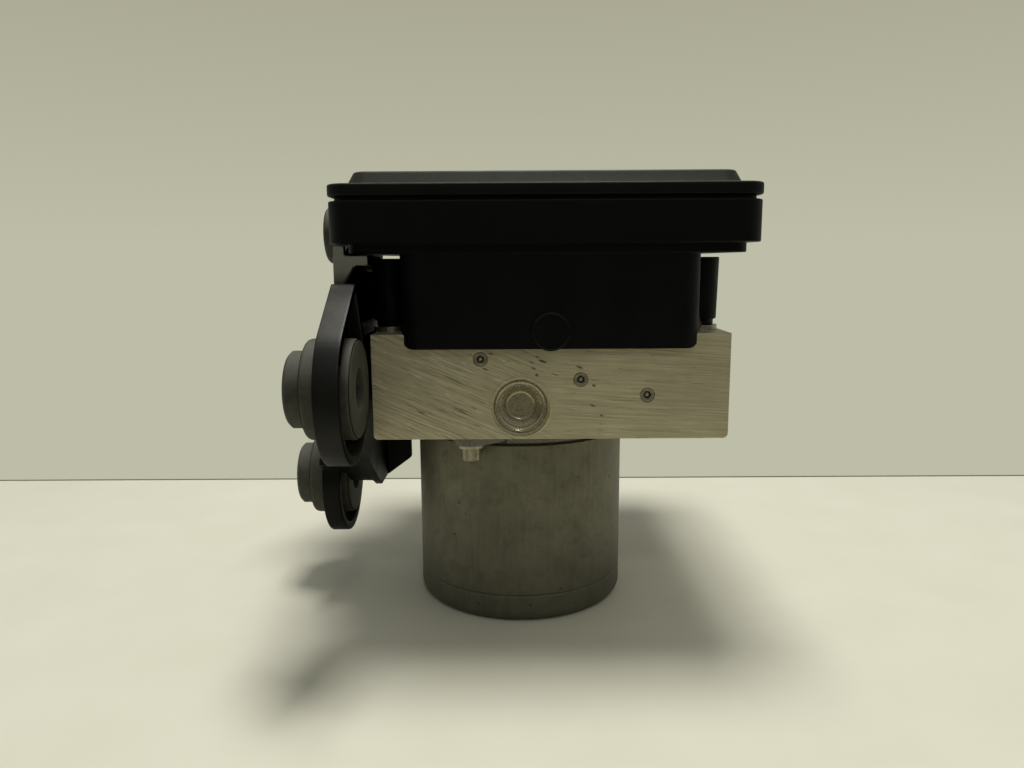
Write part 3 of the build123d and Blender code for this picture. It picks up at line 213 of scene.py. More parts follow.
def crease_shade(tree, reach_mm, low=0.35, high=0.85):
    """White in corners and grooves narrower than about reach_mm, a mask for painted shade."""
    shade = add(
        tree,
        "ShaderNodeAmbientOcclusion",
        {"Distance": reach_mm * MM},
        samples=RAYS,
        only_local=True,
    )
    return add(tree, "ShaderNodeValToRGB", {"Fac": shade.outputs["AO"]}, [(low, 1.0), (high, 0.0)])


def material(name):
    """An empty material and its shader node."""
    made = bpy.data.materials.new(name)
    made.use_nodes = True
    tree = made.node_tree
    tree.nodes.clear()
    out = add(tree, "ShaderNodeOutputMaterial")
    shader = add(tree, "ShaderNodeBsdfPrincipled")
    tree.links.new(shader.outputs["BSDF"], out.inputs["Surface"])
    return made, tree, shader


def wire(tree, shader, **inputs):
    """Set or link the shader's inputs by name, with spaces written as underscores."""
    for name, value in inputs.items():
        connect(tree, value, shader.inputs[name.replace("_", " ")])


def moulded_pbt(name, base, lift, dust, rough, grain_mm, edge_mm):
    """Glass-filled PBT, injection moulded: near black, a fine eroded grain, handling marks, dust on top."""
    made, tree, shader = material(name)
    clouds = grains(tree, 22, detail=4)
    tone = add(
        tree,
        "ShaderNodeMix",
        {0: add(tree, "ShaderNodeValToRGB", {"Fac": clouds}, [(0.35, 0.0), (0.7, 1.0)]), 6: base, 7: lift},
        data_type="RGBA",
    )
    specks = add(
        tree,
        "ShaderNodeValToRGB",
        {"Fac": grains(tree, 1.4, detail=5, rough=0.75, seed=4)},
        [(0.52, 0.0), (0.70, 1.0)],
    )
    settled = add(
        tree,
        "ShaderNodeMath",
        {
            0: facing(tree, "Z", 0.1, 0.8),
            1: add(tree, "ShaderNodeMath", {0: specks, 1: 0.35, 2: 0.65}, operation="MULTIPLY_ADD"),
        },
        operation="MULTIPLY",
    )
    tone = add(
        tree,
        "ShaderNodeMix",
        {
            0: add(tree, "ShaderNodeMath", {0: settled, 1: dust}, operation="MULTIPLY"),
            6: tone,
            7: "#5d6055",
        },
        data_type="RGBA",
    )
    worn = add(
        tree,
        "ShaderNodeMath",
        {
            0: edge_wear(tree, 0.35, 0.10, 0.30),
            1: add(
                tree,
                "ShaderNodeValToRGB",
                {"Fac": grains(tree, 5.0, detail=6, rough=0.8, seed=9)},
                [(0.60, 0.0), (0.68, 0.8)],
            ),
        },
        operation="MULTIPLY",
    )
    tone = add(tree, "ShaderNodeMix", {0: worn, 6: tone, 7: "#4a4c48"}, data_type="RGBA")
    grain = grains(tree, grain_mm, detail=2, rough=0.6, seed=2)
    sheen = add(
        tree,
        "ShaderNodeValToRGB",
        {"Fac": grains(tree, 9, detail=5, seed=6)},
        [(0.3, rough - 0.07), (0.75, rough + 0.10)],
    )
    wire(
        tree,
        shader,
        Base_Color=tone,
        Roughness=sheen,
        IOR=1.54,
        Specular_IOR_Level=0.13,
        Normal=add(
            tree,
            "ShaderNodeBump",
            {
                "Height": grain,
                "Distance": 0.012 * MM,
                "Strength": 0.6,
                "Normal": add(tree, "ShaderNodeBevel", {"Radius": edge_mm * MM}, samples=RAYS),
            },
        ),
    )
    return made


def fine_lines(tree, slope, length_mm, gap_mm, width, seed):
    """Thin broken lines in the X-Z plane that fall by slope degrees to the right."""
    stretch = (1 / length_mm, 1 / length_mm, 1 / gap_mm)
    turn = (0, math.radians(slope), 0)
    level = grains(tree, 1.0, 3, 0.45, scale=stretch, turn=turn, shift=(seed, seed, seed))
    away = add(
        tree,
        "ShaderNodeMath",
        {0: add(tree, "ShaderNodeMath", {0: level, 1: 0.5}, operation="SUBTRACT")},
        operation="ABSOLUTE",
    )
    return add(tree, "ShaderNodeValToRGB", {"Fac": away}, [(0.0, 1.0), (width, 0.0)])


def smudges(tree, places, slope):
    """White in ragged streaks, each (x, z, length, height) in millimetres, falling by slope degrees."""
    turn = (0, math.radians(slope), 0)
    parts = add(tree, "ShaderNodeSeparateXYZ", {0: place(tree, turn=turn)})
    warp = grains(tree, 0.9, 5, 0.8, scale=(0.5, 1.0, 1.0), turn=turn)
    total = 0.0
    cosine, sine = math.cos(math.radians(slope)), math.sin(math.radians(slope))
    for x, z, length, height in places:
        along, across = x * cosine - z * sine, x * sine + z * cosine
        far_along = add(
            tree,
            "ShaderNodeMath",
            {
                0: add(tree, "ShaderNodeMath", {0: parts.outputs["X"], 1: along}, operation="SUBTRACT"),
                1: length / 2,
            },
            operation="DIVIDE",
        )
        far_across = add(
            tree,
            "ShaderNodeMath",
            {
                0: add(tree, "ShaderNodeMath", {0: parts.outputs["Z"], 1: across}, operation="SUBTRACT"),
                1: height / 2,
            },
            operation="DIVIDE",
        )
        away = add(
            tree,
            "ShaderNodeMath",
            {
                0: add(tree, "ShaderNodeMath", {0: far_along, 1: far_along}, operation="MULTIPLY"),
                1: add(tree, "ShaderNodeMath", {0: far_across, 1: far_across}, operation="MULTIPLY"),
            },
            operation="ADD",
        )
        total = add(
            tree,
            "ShaderNodeMath",
            {0: total, 1: add(tree, "ShaderNodeMath", {0: 1.3, 1: away}, operation="SUBTRACT")},
            operation="MAXIMUM",
        )
    return add(
        tree,
        "ShaderNodeValToRGB",
        {"Fac": add(tree, "ShaderNodeMath", {0: total, 1: warp}, operation="MULTIPLY")},
        [(0.28, 0.0), (0.60, 1.0)],
    )


def milled_aluminium():
    """Wrought aluminium, fly-cut and deburred: fine cutter marks, scratches that slant down, dark stains."""
    made, tree, shader = material("milled_aluminium_alloy")
    # cutter marks: near level on the right, slanting down to the right on the left
    level = grains(tree, 1.0, 6, 0.72, scale=(0.06, 0.06, 3.2), turn=(0, math.radians(3), 0))
    slant = grains(tree, 1.0, 7, 0.75, scale=(0.06, 0.06, 2.6), turn=(0, math.radians(23), 0))
    rightward = add(
        tree,
        "ShaderNodeValToRGB",
        {
            "Fac": add(
                tree,
                "ShaderNodeMath",
                {0: axis_mm(tree, "X"), 1: 0.025, 2: 0.35},
                operation="MULTIPLY_ADD",
            ),
        },
        [(0.30, 0.0), (0.65, 1.0)],
    )
    marks = add(tree, "ShaderNodeMix", {0: rightward, 6: slant, 7: level}, data_type="RGBA")
    tone = add(
        tree,
        "ShaderNodeValToRGB",
        {"Fac": marks},
        [(0.22, "#a89f80"), (0.45, "#c6bd9c"), (0.58, "#d9d0ae"), (0.78, "#efe7ca")],
    )
    leftward = add(tree, "ShaderNodeMath", {0: 1.0, 1: rightward}, operation="SUBTRACT")
    patchy = add(
        tree,
        "ShaderNodeValToRGB",
        {"Fac": grains(tree, 9, detail=3, seed=12)},
        [(0.36, 0.0), (0.60, 1.0)],
    )
    deep = add(
        tree,
        "ShaderNodeMath",
        {0: fine_lines(tree, 24, 46, 1.3, 0.016, 3.0), 1: patchy},
        operation="MULTIPLY",
    )
    deep = add(tree, "ShaderNodeMath", {0: deep, 1: leftward}, operation="MULTIPLY")
    tone = add(
        tree,
        "ShaderNodeMix",
        {0: add(tree, "ShaderNodeMath", {0: deep, 1: 0.85}, operation="MULTIPLY"), 6: tone, 7: "#2e2b20"},
        data_type="RGBA",
    )
    shallow = add(
        tree,
        "ShaderNodeMath",
        {0: fine_lines(tree, 21, 40, 0.8, 0.012, 8.0), 1: leftward},
        operation="MULTIPLY",
    )
    tone = add(
        tree,
        "ShaderNodeMix",
        {
            0: add(tree, "ShaderNodeMath", {0: shallow, 1: 0.45}, operation="MULTIPLY"),
            6: tone,
            7: "#4c483a",
        },
        data_type="RGBA",
    )
    nicks = add(
        tree,
        "ShaderNodeMath",
        {0: fine_lines(tree, 4, 40, 1.0, 0.010, 5.0), 1: rightward},
        operation="MULTIPLY",
    )
    tone = add(
        tree,
        "ShaderNodeMix",
        {0: add(tree, "ShaderNodeMath", {0: nicks, 1: 0.50}, operation="MULTIPLY"), 6: tone, 7: "#4f4b3b"},
        data_type="RGBA",
    )
    glints = add(
        tree,
        "ShaderNodeMath",
        {0: fine_lines(tree, 23, 36, 1.6, 0.010, 11.0), 1: leftward},
        operation="MULTIPLY",
    )
    tone = add(
        tree,
        "ShaderNodeMix",
        {0: add(tree, "ShaderNodeMath", {0: glints, 1: 0.50}, operation="MULTIPLY"), 6: tone, 7: "#fffbea"},
        data_type="RGBA",
    )
    stain = add(
        tree,
        "ShaderNodeValToRGB",
        {"Fac": grains(tree, 16, detail=5, rough=0.6, seed=5)},
        [(0.40, 0.0), (0.75, 1.0)],
    )
    tone = add(
        tree,
        "ShaderNodeMix",
        {0: add(tree, "ShaderNodeMath", {0: stain, 1: 0.30}, operation="MULTIPLY"), 6: tone, 7: "#8d876d"},
        data_type="RGBA",
    )
    tone = add(
        tree,
        "ShaderNodeMix",
        {
            0: add(tree, "ShaderNodeMath", {0: smudges(tree, SMUDGES, 20), 1: 0.80}, operation="MULTIPLY"),
            6: tone,
            7: "#3b372b",
        },
        data_type="RGBA",
    )
    # painted shade: corners and grooves go dark brown
    tone = add(
        tree,
        "ShaderNodeMix",
        {
            0: add(tree, "ShaderNodeMath", {0: crease_shade(tree, 0.9), 1: 0.75}, operation="MULTIPLY"),
            6: tone,
            7: "#2a271d",
        },
        data_type="RGBA",
    )
    wire(
        tree,
        shader,
        Base_Color=tone,
        Metallic=0.45,
        Roughness=add(tree, "ShaderNodeValToRGB", {"Fac": marks}, [(0.2, 0.34), (0.8, 0.52)]),
        Normal=add(
            tree,
            "ShaderNodeBump",
            {
                "Height": marks,
                "Distance": 0.04 * MM,
                "Strength": 0.6,
                "Normal": add(tree, "ShaderNodeBevel", {"Radius": 0.25 * MM}, samples=RAYS),
            },
        ),
    )
    return made


def plated_can():
    """Deep-drawn steel, dull zinc-nickel plated: cloudy grey-green, draw marks, a darker foot, dark pits."""
    made, tree, shader = material("zinc_nickel_drawn_steel")
    clouds = grains(tree, 13, detail=6, rough=0.62)
    draw = grains(tree, 1.0, 4, 0.6, scale=(0.9, 0.9, 0.07))
    tone = add(
        tree,
        "ShaderNodeValToRGB",
        {"Fac": clouds},
        [(0.30, "#5e5b4a"), (0.50, "#6f6c59"), (0.72, "#827f6c")],
    )
    tone = add(
        tree,
        "ShaderNodeMix",
        {
            0: add(tree, "ShaderNodeValToRGB", {"Fac": draw}, [(0.35, 0.0), (0.75, 0.35)]),
            6: tone,
            7: "#8b8873",
        },
        data_type="RGBA",
    )
    foot = add(
        tree,
        "ShaderNodeValToRGB",
        {"Fac": add(tree, "ShaderNodeMath", {0: axis_mm(tree, "Z"), 1: 0.02}, operation="MULTIPLY")},
        [(0.05, 0.55), (0.75, 0.0)],
    )
    tone = add(tree, "ShaderNodeMix", {0: foot, 6: tone, 7: "#393a33"}, data_type="RGBA")
    grime = add(
        tree,
        "ShaderNodeValToRGB",
        {"Fac": grains(tree, 4.5, detail=6, rough=0.7, seed=15)},
        [(0.50, 0.0), (0.72, 0.55)],
    )
    tone = add(tree, "ShaderNodeMix", {0: grime, 6: tone, 7: "#4b4a3e"}, data_type="RGBA")
    pits = add(
        tree,
        "ShaderNodeValToRGB",
        {"Fac": grains(tree, 2.2, detail=2, seed=7)},
        [(0.72, 0.0), (0.76, 1.0)],
    )
    tone = add(
        tree,
        "ShaderNodeMix",
        {0: add(tree, "ShaderNodeMath", {0: pits, 1: 0.7}, operation="MULTIPLY"), 6: tone, 7: "#2b2922"},
        data_type="RGBA",
    )
    fine = grains(tree, 0.5, detail=3, rough=0.7, seed=3)
    wire(
        tree,
        shader,
        Base_Color=tone,
        Metallic=0.45,
        Roughness=add(tree, "ShaderNodeValToRGB", {"Fac": clouds}, [(0.3, 0.50), (0.7, 0.64)]),
        Normal=add(
            tree,
            "ShaderNodeBump",
            {
                "Height": fine,
                "Distance": 0.03 * MM,
                "Strength": 0.6,
                "Normal": add(tree, "ShaderNodeBevel", {"Radius": 0.3 * MM}, samples=RAYS),
            },
        ),
    )
    return made


def plain_metal(name, low, high, rough, metallic=0.9, grain_mm=1.2, edge_mm=0.2):
    """Turned, pressed or cast metal: two close tones, painted shade in its creases and soft edges."""
    made, tree, shader = material(name)
    mottle = grains(tree, grain_mm, detail=5, rough=0.6)
    tone = add(
        tree,
        "ShaderNodeMix",
        {0: add(tree, "ShaderNodeValToRGB", {"Fac": mottle}, [(0.3, 0.0), (0.7, 1.0)]), 6: low, 7: high},
        data_type="RGBA",
    )
    # painted shade: corners and grooves go near black
    tone = add(
        tree,
        "ShaderNodeMix",
        {
            0: add(tree, "ShaderNodeMath", {0: crease_shade(tree, 0.8), 1: 0.8}, operation="MULTIPLY"),
            6: tone,
            7: "#1d1a13",
        },
        data_type="RGBA",
    )
    wire(
        tree,
        shader,
        Base_Color=tone,
        Metallic=metallic,
        Roughness=add(
            tree,
            "ShaderNodeValToRGB",
            {"Fac": mottle},
            [(0.2, rough - 0.06), (0.8, rough + 0.08)],
        ),
        Normal=add(
            tree,
            "ShaderNodeBump",
            {
                "Height": mottle,
                "Distance": 0.01 * MM,
                "Strength": 0.5,
                "Normal": add(tree, "ShaderNodeBevel", {"Radius": edge_mm * MM}, samples=RAYS),
            },
        ),
    )
    return made


def coated_sheet():
    """Pressed steel, black dip painted: satin, a slight orange peel, thin on its edges, dusty, with a painted
    sheen on the arm's upper end and painted shade on the faces behind the cups and towards the block.
    """
    made, tree, shader = material("black_dip_painted_steel")
    clouds = grains(tree, 12, detail=4)
    tone = add(
        tree,
        "ShaderNodeMix",
        {
            0: add(tree, "ShaderNodeValToRGB", {"Fac": clouds}, [(0.3, 0.0), (0.7, 1.0)]),
            6: "#0a0a08",
            7: "#12120f",
        },
        data_type="RGBA",
    )
    dusty = add(
        tree,
        "ShaderNodeValToRGB",
        {"Fac": grains(tree, 2.6, detail=5, rough=0.7, seed=14)},
        [(0.35, 0.25), (0.7, 0.6)],
    )
    tone = add(
        tree,
        "ShaderNodeMix",
        {
            0: add(
                tree,
                "ShaderNodeMath",
                {0: facing(tree, "Z", 0.6, 0.95), 1: dusty},
                operation="MULTIPLY",
            ),
            6: tone,
            7: "#4a4a40",
        },
        data_type="RGBA",
    )
    # painted sheen: the arm's upper end, where it faces the front, is painted pale, a painted reflection of
    # the wall
    upper_end_mask = add(
        tree,
        "ShaderNodeValToRGB",
        {"Fac": add(tree, "ShaderNodeMath", {0: axis_mm(tree, "Z"), 1: 0.005}, operation="MULTIPLY")},
        [(0.505, 0.0), (0.53, 0.9)],
    )
    frontward = facing(tree, "Y", 0.2, 0.55, -1.0)
    forward = add(
        tree,
        "ShaderNodeValToRGB",
        {"Fac": add(tree, "ShaderNodeMath", {0: axis_mm(tree, "Y"), 1: -0.02}, operation="MULTIPLY")},
        [(0.64, 0.0), (0.84, 1.0)],
    )
    painted_sheen = add(
        tree,
        "ShaderNodeMath",
        {0: add(tree, "ShaderNodeMath", {0: upper_end_mask, 1: frontward}, operation="MULTIPLY"), 1: forward},
        operation="MULTIPLY",
    )
    tone = add(
        tree,
        "ShaderNodeMix",
        {0: add(tree, "ShaderNodeMath", {0: painted_sheen, 1: 0.85}, operation="MULTIPLY"), 6: tone, 7: "#96958a"},
        data_type="RGBA",
    )
    rubbed = add(
        tree,
        "ShaderNodeMath",
        {
            0: edge_wear(tree, 0.5, 0.05, 0.30),
            1: add(
                tree,
                "ShaderNodeValToRGB",
                {"Fac": grains(tree, 3, detail=4, rough=0.7, seed=8)},
                [(0.35, 0.10), (0.65, 0.7)],
            ),
        },
        operation="MULTIPLY",
    )
    tone = add(tree, "ShaderNodeMix", {0: rubbed, 6: tone, 7: "#3a3934"}, data_type="RGBA")
    # painted shade: the arms behind the cups and the faces towards the block are painted deep black, for the
    # shade that falls there
    behind = add(
        tree,
        "ShaderNodeValToRGB",
        {"Fac": add(tree, "ShaderNodeMath", {0: axis_mm(tree, "Y"), 1: -0.02}, operation="MULTIPLY")},
        [(0.30, 0.55), (0.80, 0.0)],
    )
    inward_shade = add(tree, "ShaderNodeMath", {0: facing(tree, "X", 0.5, 0.9), 1: behind}, operation="MAXIMUM")
    tone = add(tree, "ShaderNodeMix", {0: inward_shade, 6: tone, 7: "#050505"}, data_type="RGBA")
    # above this height their sheen goes too
    dull_from = 84.0
    above = add(tree, "ShaderNodeMath", {0: axis_mm(tree, "Z"), 1: dull_from}, operation="GREATER_THAN")
    dulled = add(tree, "ShaderNodeMath", {0: above, 1: -0.04, 2: -0.20}, operation="MULTIPLY_ADD")
    peel = grains(tree, 0.8, detail=2, seed=2)
    wire(
        tree,
        shader,
        Base_Color=tone,
        Roughness=add(tree, "ShaderNodeValToRGB", {"Fac": clouds}, [(0.3, 0.38), (0.7, 0.50)]),
        IOR=1.5,
        Specular_IOR_Level=add(
            tree,
            "ShaderNodeMath",
            {0: inward_shade, 1: dulled, 2: 0.24},
            operation="MULTIPLY_ADD",
        ),
        Normal=add(
            tree,
            "ShaderNodeBump",
            {
                "Height": peel,
                "Distance": 0.02 * MM,
                "Strength": 0.5,
                "Normal": add(tree, "ShaderNodeBevel", {"Radius": 0.5 * MM}, samples=RAYS),
            },
        ),
    )
    return made


def moulded_rubber():
    """Natural rubber, compression moulded: grey with bloom, lighter on its upward faces, and rounded rims."""
    made, tree, shader = material("moulded_natural_rubber")
    bloom = grains(tree, 4, detail=5, rough=0.65)
    tone = add(
        tree,
        "ShaderNodeValToRGB",
        {"Fac": bloom},
        [(0.3, "#38372f"), (0.5, "#46453c"), (0.75, "#56554b")],
    )
    tone = add(
        tree,
        "ShaderNodeMix",
        {
            0: add(tree, "ShaderNodeMath", {0: facing(tree, "Z", 0.2, 0.9), 1: 0.35}, operation="MULTIPLY"),
            6: tone,
            7: "#6c6c60",
        },
        data_type="RGBA",
    )
    fine = grains(tree, 0.35, detail=3, seed=2)
    wire(
        tree,
        shader,
        Base_Color=tone,
        Roughness=add(tree, "ShaderNodeValToRGB", {"Fac": bloom}, [(0.3, 0.66), (0.7, 0.80)]),
        IOR=1.52,
        Specular_IOR_Level=0.35,
        Normal=add(
            tree,
            "ShaderNodeBump",
            {
                "Height": fine,
                "Distance": 0.015 * MM,
                "Strength": 0.6,
                "Normal": add(tree, "ShaderNodeBevel", {"Radius": 0.5 * MM}, samples=RAYS),
            },
        ),
    )
    return made


def plain_compound(name, low, high, rough, grain_mm=1.5):
    """Small inner parts in plastic, rubber, carbon or enamel: two close tones and a fine grain."""
    made, tree, shader = material(name)
    mottle = grains(tree, grain_mm, detail=4)
    wire(
        tree,
        shader,
        Base_Color=add(
            tree,
            "ShaderNodeMix",
            {
                0: add(tree, "ShaderNodeValToRGB", {"Fac": mottle}, [(0.3, 0.0), (0.7, 1.0)]),
                6: low,
                7: high,
            },
            data_type="RGBA",
        ),
        Roughness=rough,
        Normal=add(
            tree,
            "ShaderNodeBump",
            {
                "Height": mottle,
                "Distance": 0.01 * MM,
                "Strength": 0.5,
                "Normal": add(tree, "ShaderNodeBevel", {"Radius": 0.15 * MM}, samples=RAYS),
            },
        ),
    )
    return made


FINISHES = {
    "housing": moulded_pbt("moulded_glass_filled_pbt", "#060608", "#0a0a0c", 0.35, 0.48, 0.45, 0.35),
    "lid": moulded_pbt("moulded_pbt_lid", "#0d100e", "#131613", 0.55, 0.52, 0.40, 0.5),
    "block": milled_aluminium(),
    "can": plated_can(),
    "cast": plain_metal("die_cast_aluminium", "#6d6b5f", "#8b897c", 0.55, 0.7, 0.9, 0.3),
    "fastener": plain_metal("zinc_plated_steel", "#8f8a72", "#b6b19a", 0.36, 0.9, 0.8, 0.2),
    "bright": plain_metal("turned_steel", "#8f8a78", "#bdb8a4", 0.30, 0.80, 0.6, 0.15),
    "plug": plain_metal("pressed_plug_steel", "#a49c84", "#beb69a", 0.27, 0.8, 0.7, 0.15),
    "sheet": coated_sheet(),
    "rubber": moulded_rubber(),
    "seal": plain_compound("fluororubber_seal", "#0c0c0c", "#161616", 0.6),
    "laminate": plain_compound("solder_masked_laminate", "#0d3d22", "#13502d", 0.35),
    "copper": plain_metal("enamelled_copper", "#9a4f24", "#b9683a", 0.3, 0.9, 0.8),
    "ferrite": plain_compound("sintered_ferrite", "#1b1b1d", "#2a2a2c", 0.7),
    "bobbin": plain_compound("overmoulded_winding", "#131316", "#1e1e22", 0.5),
    "pins": plain_metal("tinned_bronze", "#a89a72", "#c6bb97", 0.3, 0.95, 0.5),
    "carbon": plain_compound("pressed_carbon", "#101010", "#1c1c1c", 0.75),
}

NODE_FINISHES = {
    "housing": "ecu_housing contact_post",
    "lid": "ecu_cover",
    "block": "valve_block",
    "can": "motor_can",
    "cast": "motor_flange accumulator_piston_front accumulator_piston_rear",
    "fastener": "tower_inserts ecu_screws motor_bolts bracket_bolts",
    "bright": "expander_plugs pump_piston_front pump_piston_rear pump_spring_front pump_spring_rear "
    "accumulator_spring_front accumulator_spring_rear accumulator_caps valve_cartridges "
    "pressure_sensor motor_bearings motor_shaft armature_core eccentric_ring",
    "plug": "pump_plug_front pump_plug_rear",
    "sheet": "bracket",
    "rubber": "grommet_middle grommet_lower grommet_upper",
    "seal": "housing_seal",
    "laminate": "circuit_board",
    "copper": "armature_windings commutator",
    "ferrite": "motor_magnets",
    "bobbin": "solenoid_coils brush_plate",
    "pins": "connector_pins",
    "carbon": "motor_brushes",
}


for finish_name, nodes in NODE_FINISHES.items():
    for node_name in nodes.split():
        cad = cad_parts[node_name]
        if not cad.material_slots:
            cad.data.materials.append(FINISHES[finish_name])
        for material_slot in cad.material_slots:
            material_slot.material = FINISHES[finish_name]


# ================= pieces with rounded edges =================

BODY = "module"
MERGE_MM = 0.002
FLAT_ANGLE = math.radians(0.5)
SHARP_ANGLE = math.radians(28)
# the shortest edge that a rounding may end on, in radii
SHORT_EDGE = 1.5
# the cosine from which one edge counts as carrying on another
IN_LINE = 0.9
LATHE_STEPS = 96
# six steps round a half circle, in radians
HALF_TURN = (0, 0.52, 1.05, 1.57, 2.09, 2.62, 3.14)
SIDES = ((-1, "front"), (1, "rear"))


def roundable(edges, radius):
    """The sharp edges that have room for a rounding of this radius, in metres."""
    sharp = {e for e in edges if len(e.link_faces) == 2 and e.calc_face_angle(0) > SHARP_ANGLE}
    shortest = SHORT_EDGE * radius
    while True:
        crowded = set()
        for edge in sharp:
            for vert in edge.verts:
                along = (edge.other_vert(vert).co - vert.co).normalized()
                mates = [e for e in vert.link_edges if e is not edge]
                if not any(e in sharp for e in mates):
                    crowded.add(edge)
                for mate in mates:
                    if mate.calc_length() >= shortest:
                        continue
                    across = (mate.other_vert(vert).co - vert.co).normalized()
                    if mate not in sharp or abs(along.dot(across)) < IN_LINE:
                        crowded.add(edge)
        if not crowded:
            return list(sharp)
        sharp -= crowded


def finished(mesh, name, finish, node=None, piston=None):
    """An object for a finished mesh, standing for a node if one is given. It rides on the module, or, when a
    piston is named, stays where it is."""
    obj = bpy.data.objects.new(name, mesh)
    bpy.context.scene.collection.objects.link(obj)
    mesh.materials.clear()
    mesh.materials.append(FINISHES[finish])
    if piston:
        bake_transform(obj)
    else:
        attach(obj, BODY)
    if node:
        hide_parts(node)
    return obj


def merged(node):
    """A copy of a node's mesh with its loose triangles joined, open for editing."""
    form = bmesh.new()
    form.from_mesh(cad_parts[node].data)
    bmesh.ops.remove_doubles(form, verts=form.verts, dist=MERGE_MM * MM)
    return form


def shaded(form, name):
    """The mesh of an edited form, smooth except at its sharp edges."""
    for face in form.faces:
        face.smooth = True
    for edge in form.edges:
        edge.smooth = len(edge.link_faces) == 2 and edge.calc_face_angle(0) < SHARP_ANGLE
    mesh = bpy.data.meshes.new(name)
    form.to_mesh(mesh)
    form.free()
    return mesh


def rounded(node, finish, radius_mm, segments=2):
    """A node's shape again with its sharp edges broken, as tooling or deburring leaves them."""
    form = merged(node)
    bmesh.ops.dissolve_limit(form, angle_limit=FLAT_ANGLE, verts=form.verts, edges=form.edges)
    radius = radius_mm * MM
    bmesh.ops.bevel(
        form,
        geom=roundable(form.edges, radius),
        offset=radius,
        offset_type="OFFSET",
        segments=segments,
        profile=0.5,
        affect="EDGES",
        clamp_overlap=False,
    )
    bmesh.ops.triangulate(form, faces=form.faces)
    piece = finished(shaded(form, "rounded_" + node), "rounded_" + node, finish, node)
    weighting = piece.modifiers.new("flat_faces_stay_flat", "WEIGHTED_NORMAL")
    weighting.mode = "FACE_AREA"
    weighting.weight = 100
    weighting.keep_sharp = True


rounded("ecu_cover", "lid", 0.5)
rounded("ecu_housing", "housing", 0.35)
rounded("bracket", "sheet", 0.5)
rounded("valve_block", "block", 0.2)
rounded("motor_flange", "cast", 0.3)
for mount in ("middle", "lower", "upper"):
    rounded("grommet_" + mount, "rubber", 0.6)


# ================= springs =================


def pressed_spring(node, piston):
    """A node's spring again, shaded smooth; as it names a piston, it stays where it is instead of riding on
    the module."""
    mesh = shaded(merged(node), "pressed_" + node)
    finished(mesh, "pressed_" + node, "bright", node, piston)


for spring_side, spring_place in SIDES:
    pump_node = "pump_spring_" + spring_place
    pressed_spring(pump_node, "pump_piston_" + spring_place)
    accumulator_node = "accumulator_spring_" + spring_place
    pressed_spring(accumulator_node, "accumulator_piston_" + spring_place)


# ================= small forms =================


def lathe(name, profile, centre, side, finish, node=None):
    """A turned piece on a line along Y. profile holds (radius, y) in millimetres, closed on the axis or on
    itself; side is -1 at the front and 1 at the rear."""
    form = bmesh.new()
    x, z = centre
    verts = [form.verts.new(((x + r) * MM, side * y * MM, z * MM)) for r, y in profile]
    edges = [form.edges.new(pair) for pair in zip(verts, verts[1:])]
    bmesh.ops.spin(
        form,
        geom=verts + edges,
        cent=(x * MM, 0, z * MM),
        axis=(0, 1, 0),
        angle=2 * math.pi,
        steps=LATHE_STEPS,
    )
    bmesh.ops.remove_doubles(form, verts=form.verts, dist=MERGE_MM * MM)
    bmesh.ops.dissolve_degenerate(form, edges=form.edges, dist=MERGE_MM * MM)
    bmesh.ops.recalc_face_normals(form, faces=form.faces)
    finished(shaded(form, name), name, finish, node)


def plug_profile():
    """Section of a pump plug: a crimped bead round a dish with a soft step down to its floor."""
    seat, rim = BLOCK_BACK - PLUG_SEAT_DEPTH, BLOCK_BACK - PUMP_MOUTH_DEPTH
    floor = rim - PLUG_DISH_DEPTH
    bead = [
        (PLUG_RADIUS - PLUG_BEAD_HALF_WIDTH * (1 - math.cos(t)), rim + PLUG_BEAD_HEIGHT * math.sin(t))
        for t in HALF_TURN
    ]
    step = [(6.5, rim - 0.12), (6.35, rim - 0.05), (6.1, rim - 0.05), (5.96, rim - 0.2), (5.9, rim - 0.6)]
    dish = [(4.9, floor + 1.15), (4.3, floor + 0.5), (4.05, floor + 0.18), (3.75, floor + 0.02), (3.4, floor)]
    return [(0, seat), (PLUG_RADIUS, seat), *bead, *step, *dish, (0, floor)]


def round_section(centre_radius, centre_y, thick):
    """A closed round section for a ring."""
    turns = [2 * math.pi * i / 8 for i in range(9)]
    return [(centre_radius + thick * math.cos(t), centre_y + thick * math.sin(t)) for t in turns]


for plug_side, plug_place in SIDES:
    plug_node = "pump_plug_" + plug_place
    lathe("crimped_" + plug_node, plug_profile(), (0.0, PUMP_Z), plug_side, "plug", plug_node)

# the raised rim round the flat boss on the coil case
rim_section = round_section(BOSS_RADIUS, BOSS_FACE, BOSS_RIM_THICK)
lathe("boss_rim", rim_section, BOSS_SITE, -1, "lid")

# the metal pushed up round each pump bore where its plug is staked in
ring_radius = PUMP_MOUTH_RADIUS + STAKING_RING_GAP
ring_section = round_section(ring_radius, BLOCK_BACK - STAKING_RING_SINK, STAKING_RING_THICK)
for plug_side, plug_place in SIDES:
    lathe("staking_ring_" + plug_place, ring_section, (0.0, PUMP_Z), plug_side, "block")


# ================= threads and expander plugs, by Geometry Nodes =================


def geometry_tree(name, sizes):
    """A Geometry Nodes tree with named inputs for its sizes and its finish; also gives its two end nodes."""
    tree = bpy.data.node_groups.new(name, "GeometryNodeTree")
    tree.interface.new_socket("Geometry", in_out="INPUT", socket_type="NodeSocketGeometry")
    for label, value in sizes.items():
        socket = tree.interface.new_socket(label, in_out="INPUT", socket_type="NodeSocketFloat")
        socket.default_value = value
    tree.interface.new_socket("Finish", in_out="INPUT", socket_type="NodeSocketMaterial")
    tree.interface.new_socket("Geometry", in_out="OUTPUT", socket_type="NodeSocketGeometry")
    return tree, add(tree, "NodeGroupInput").outputs, add(tree, "NodeGroupOutput")


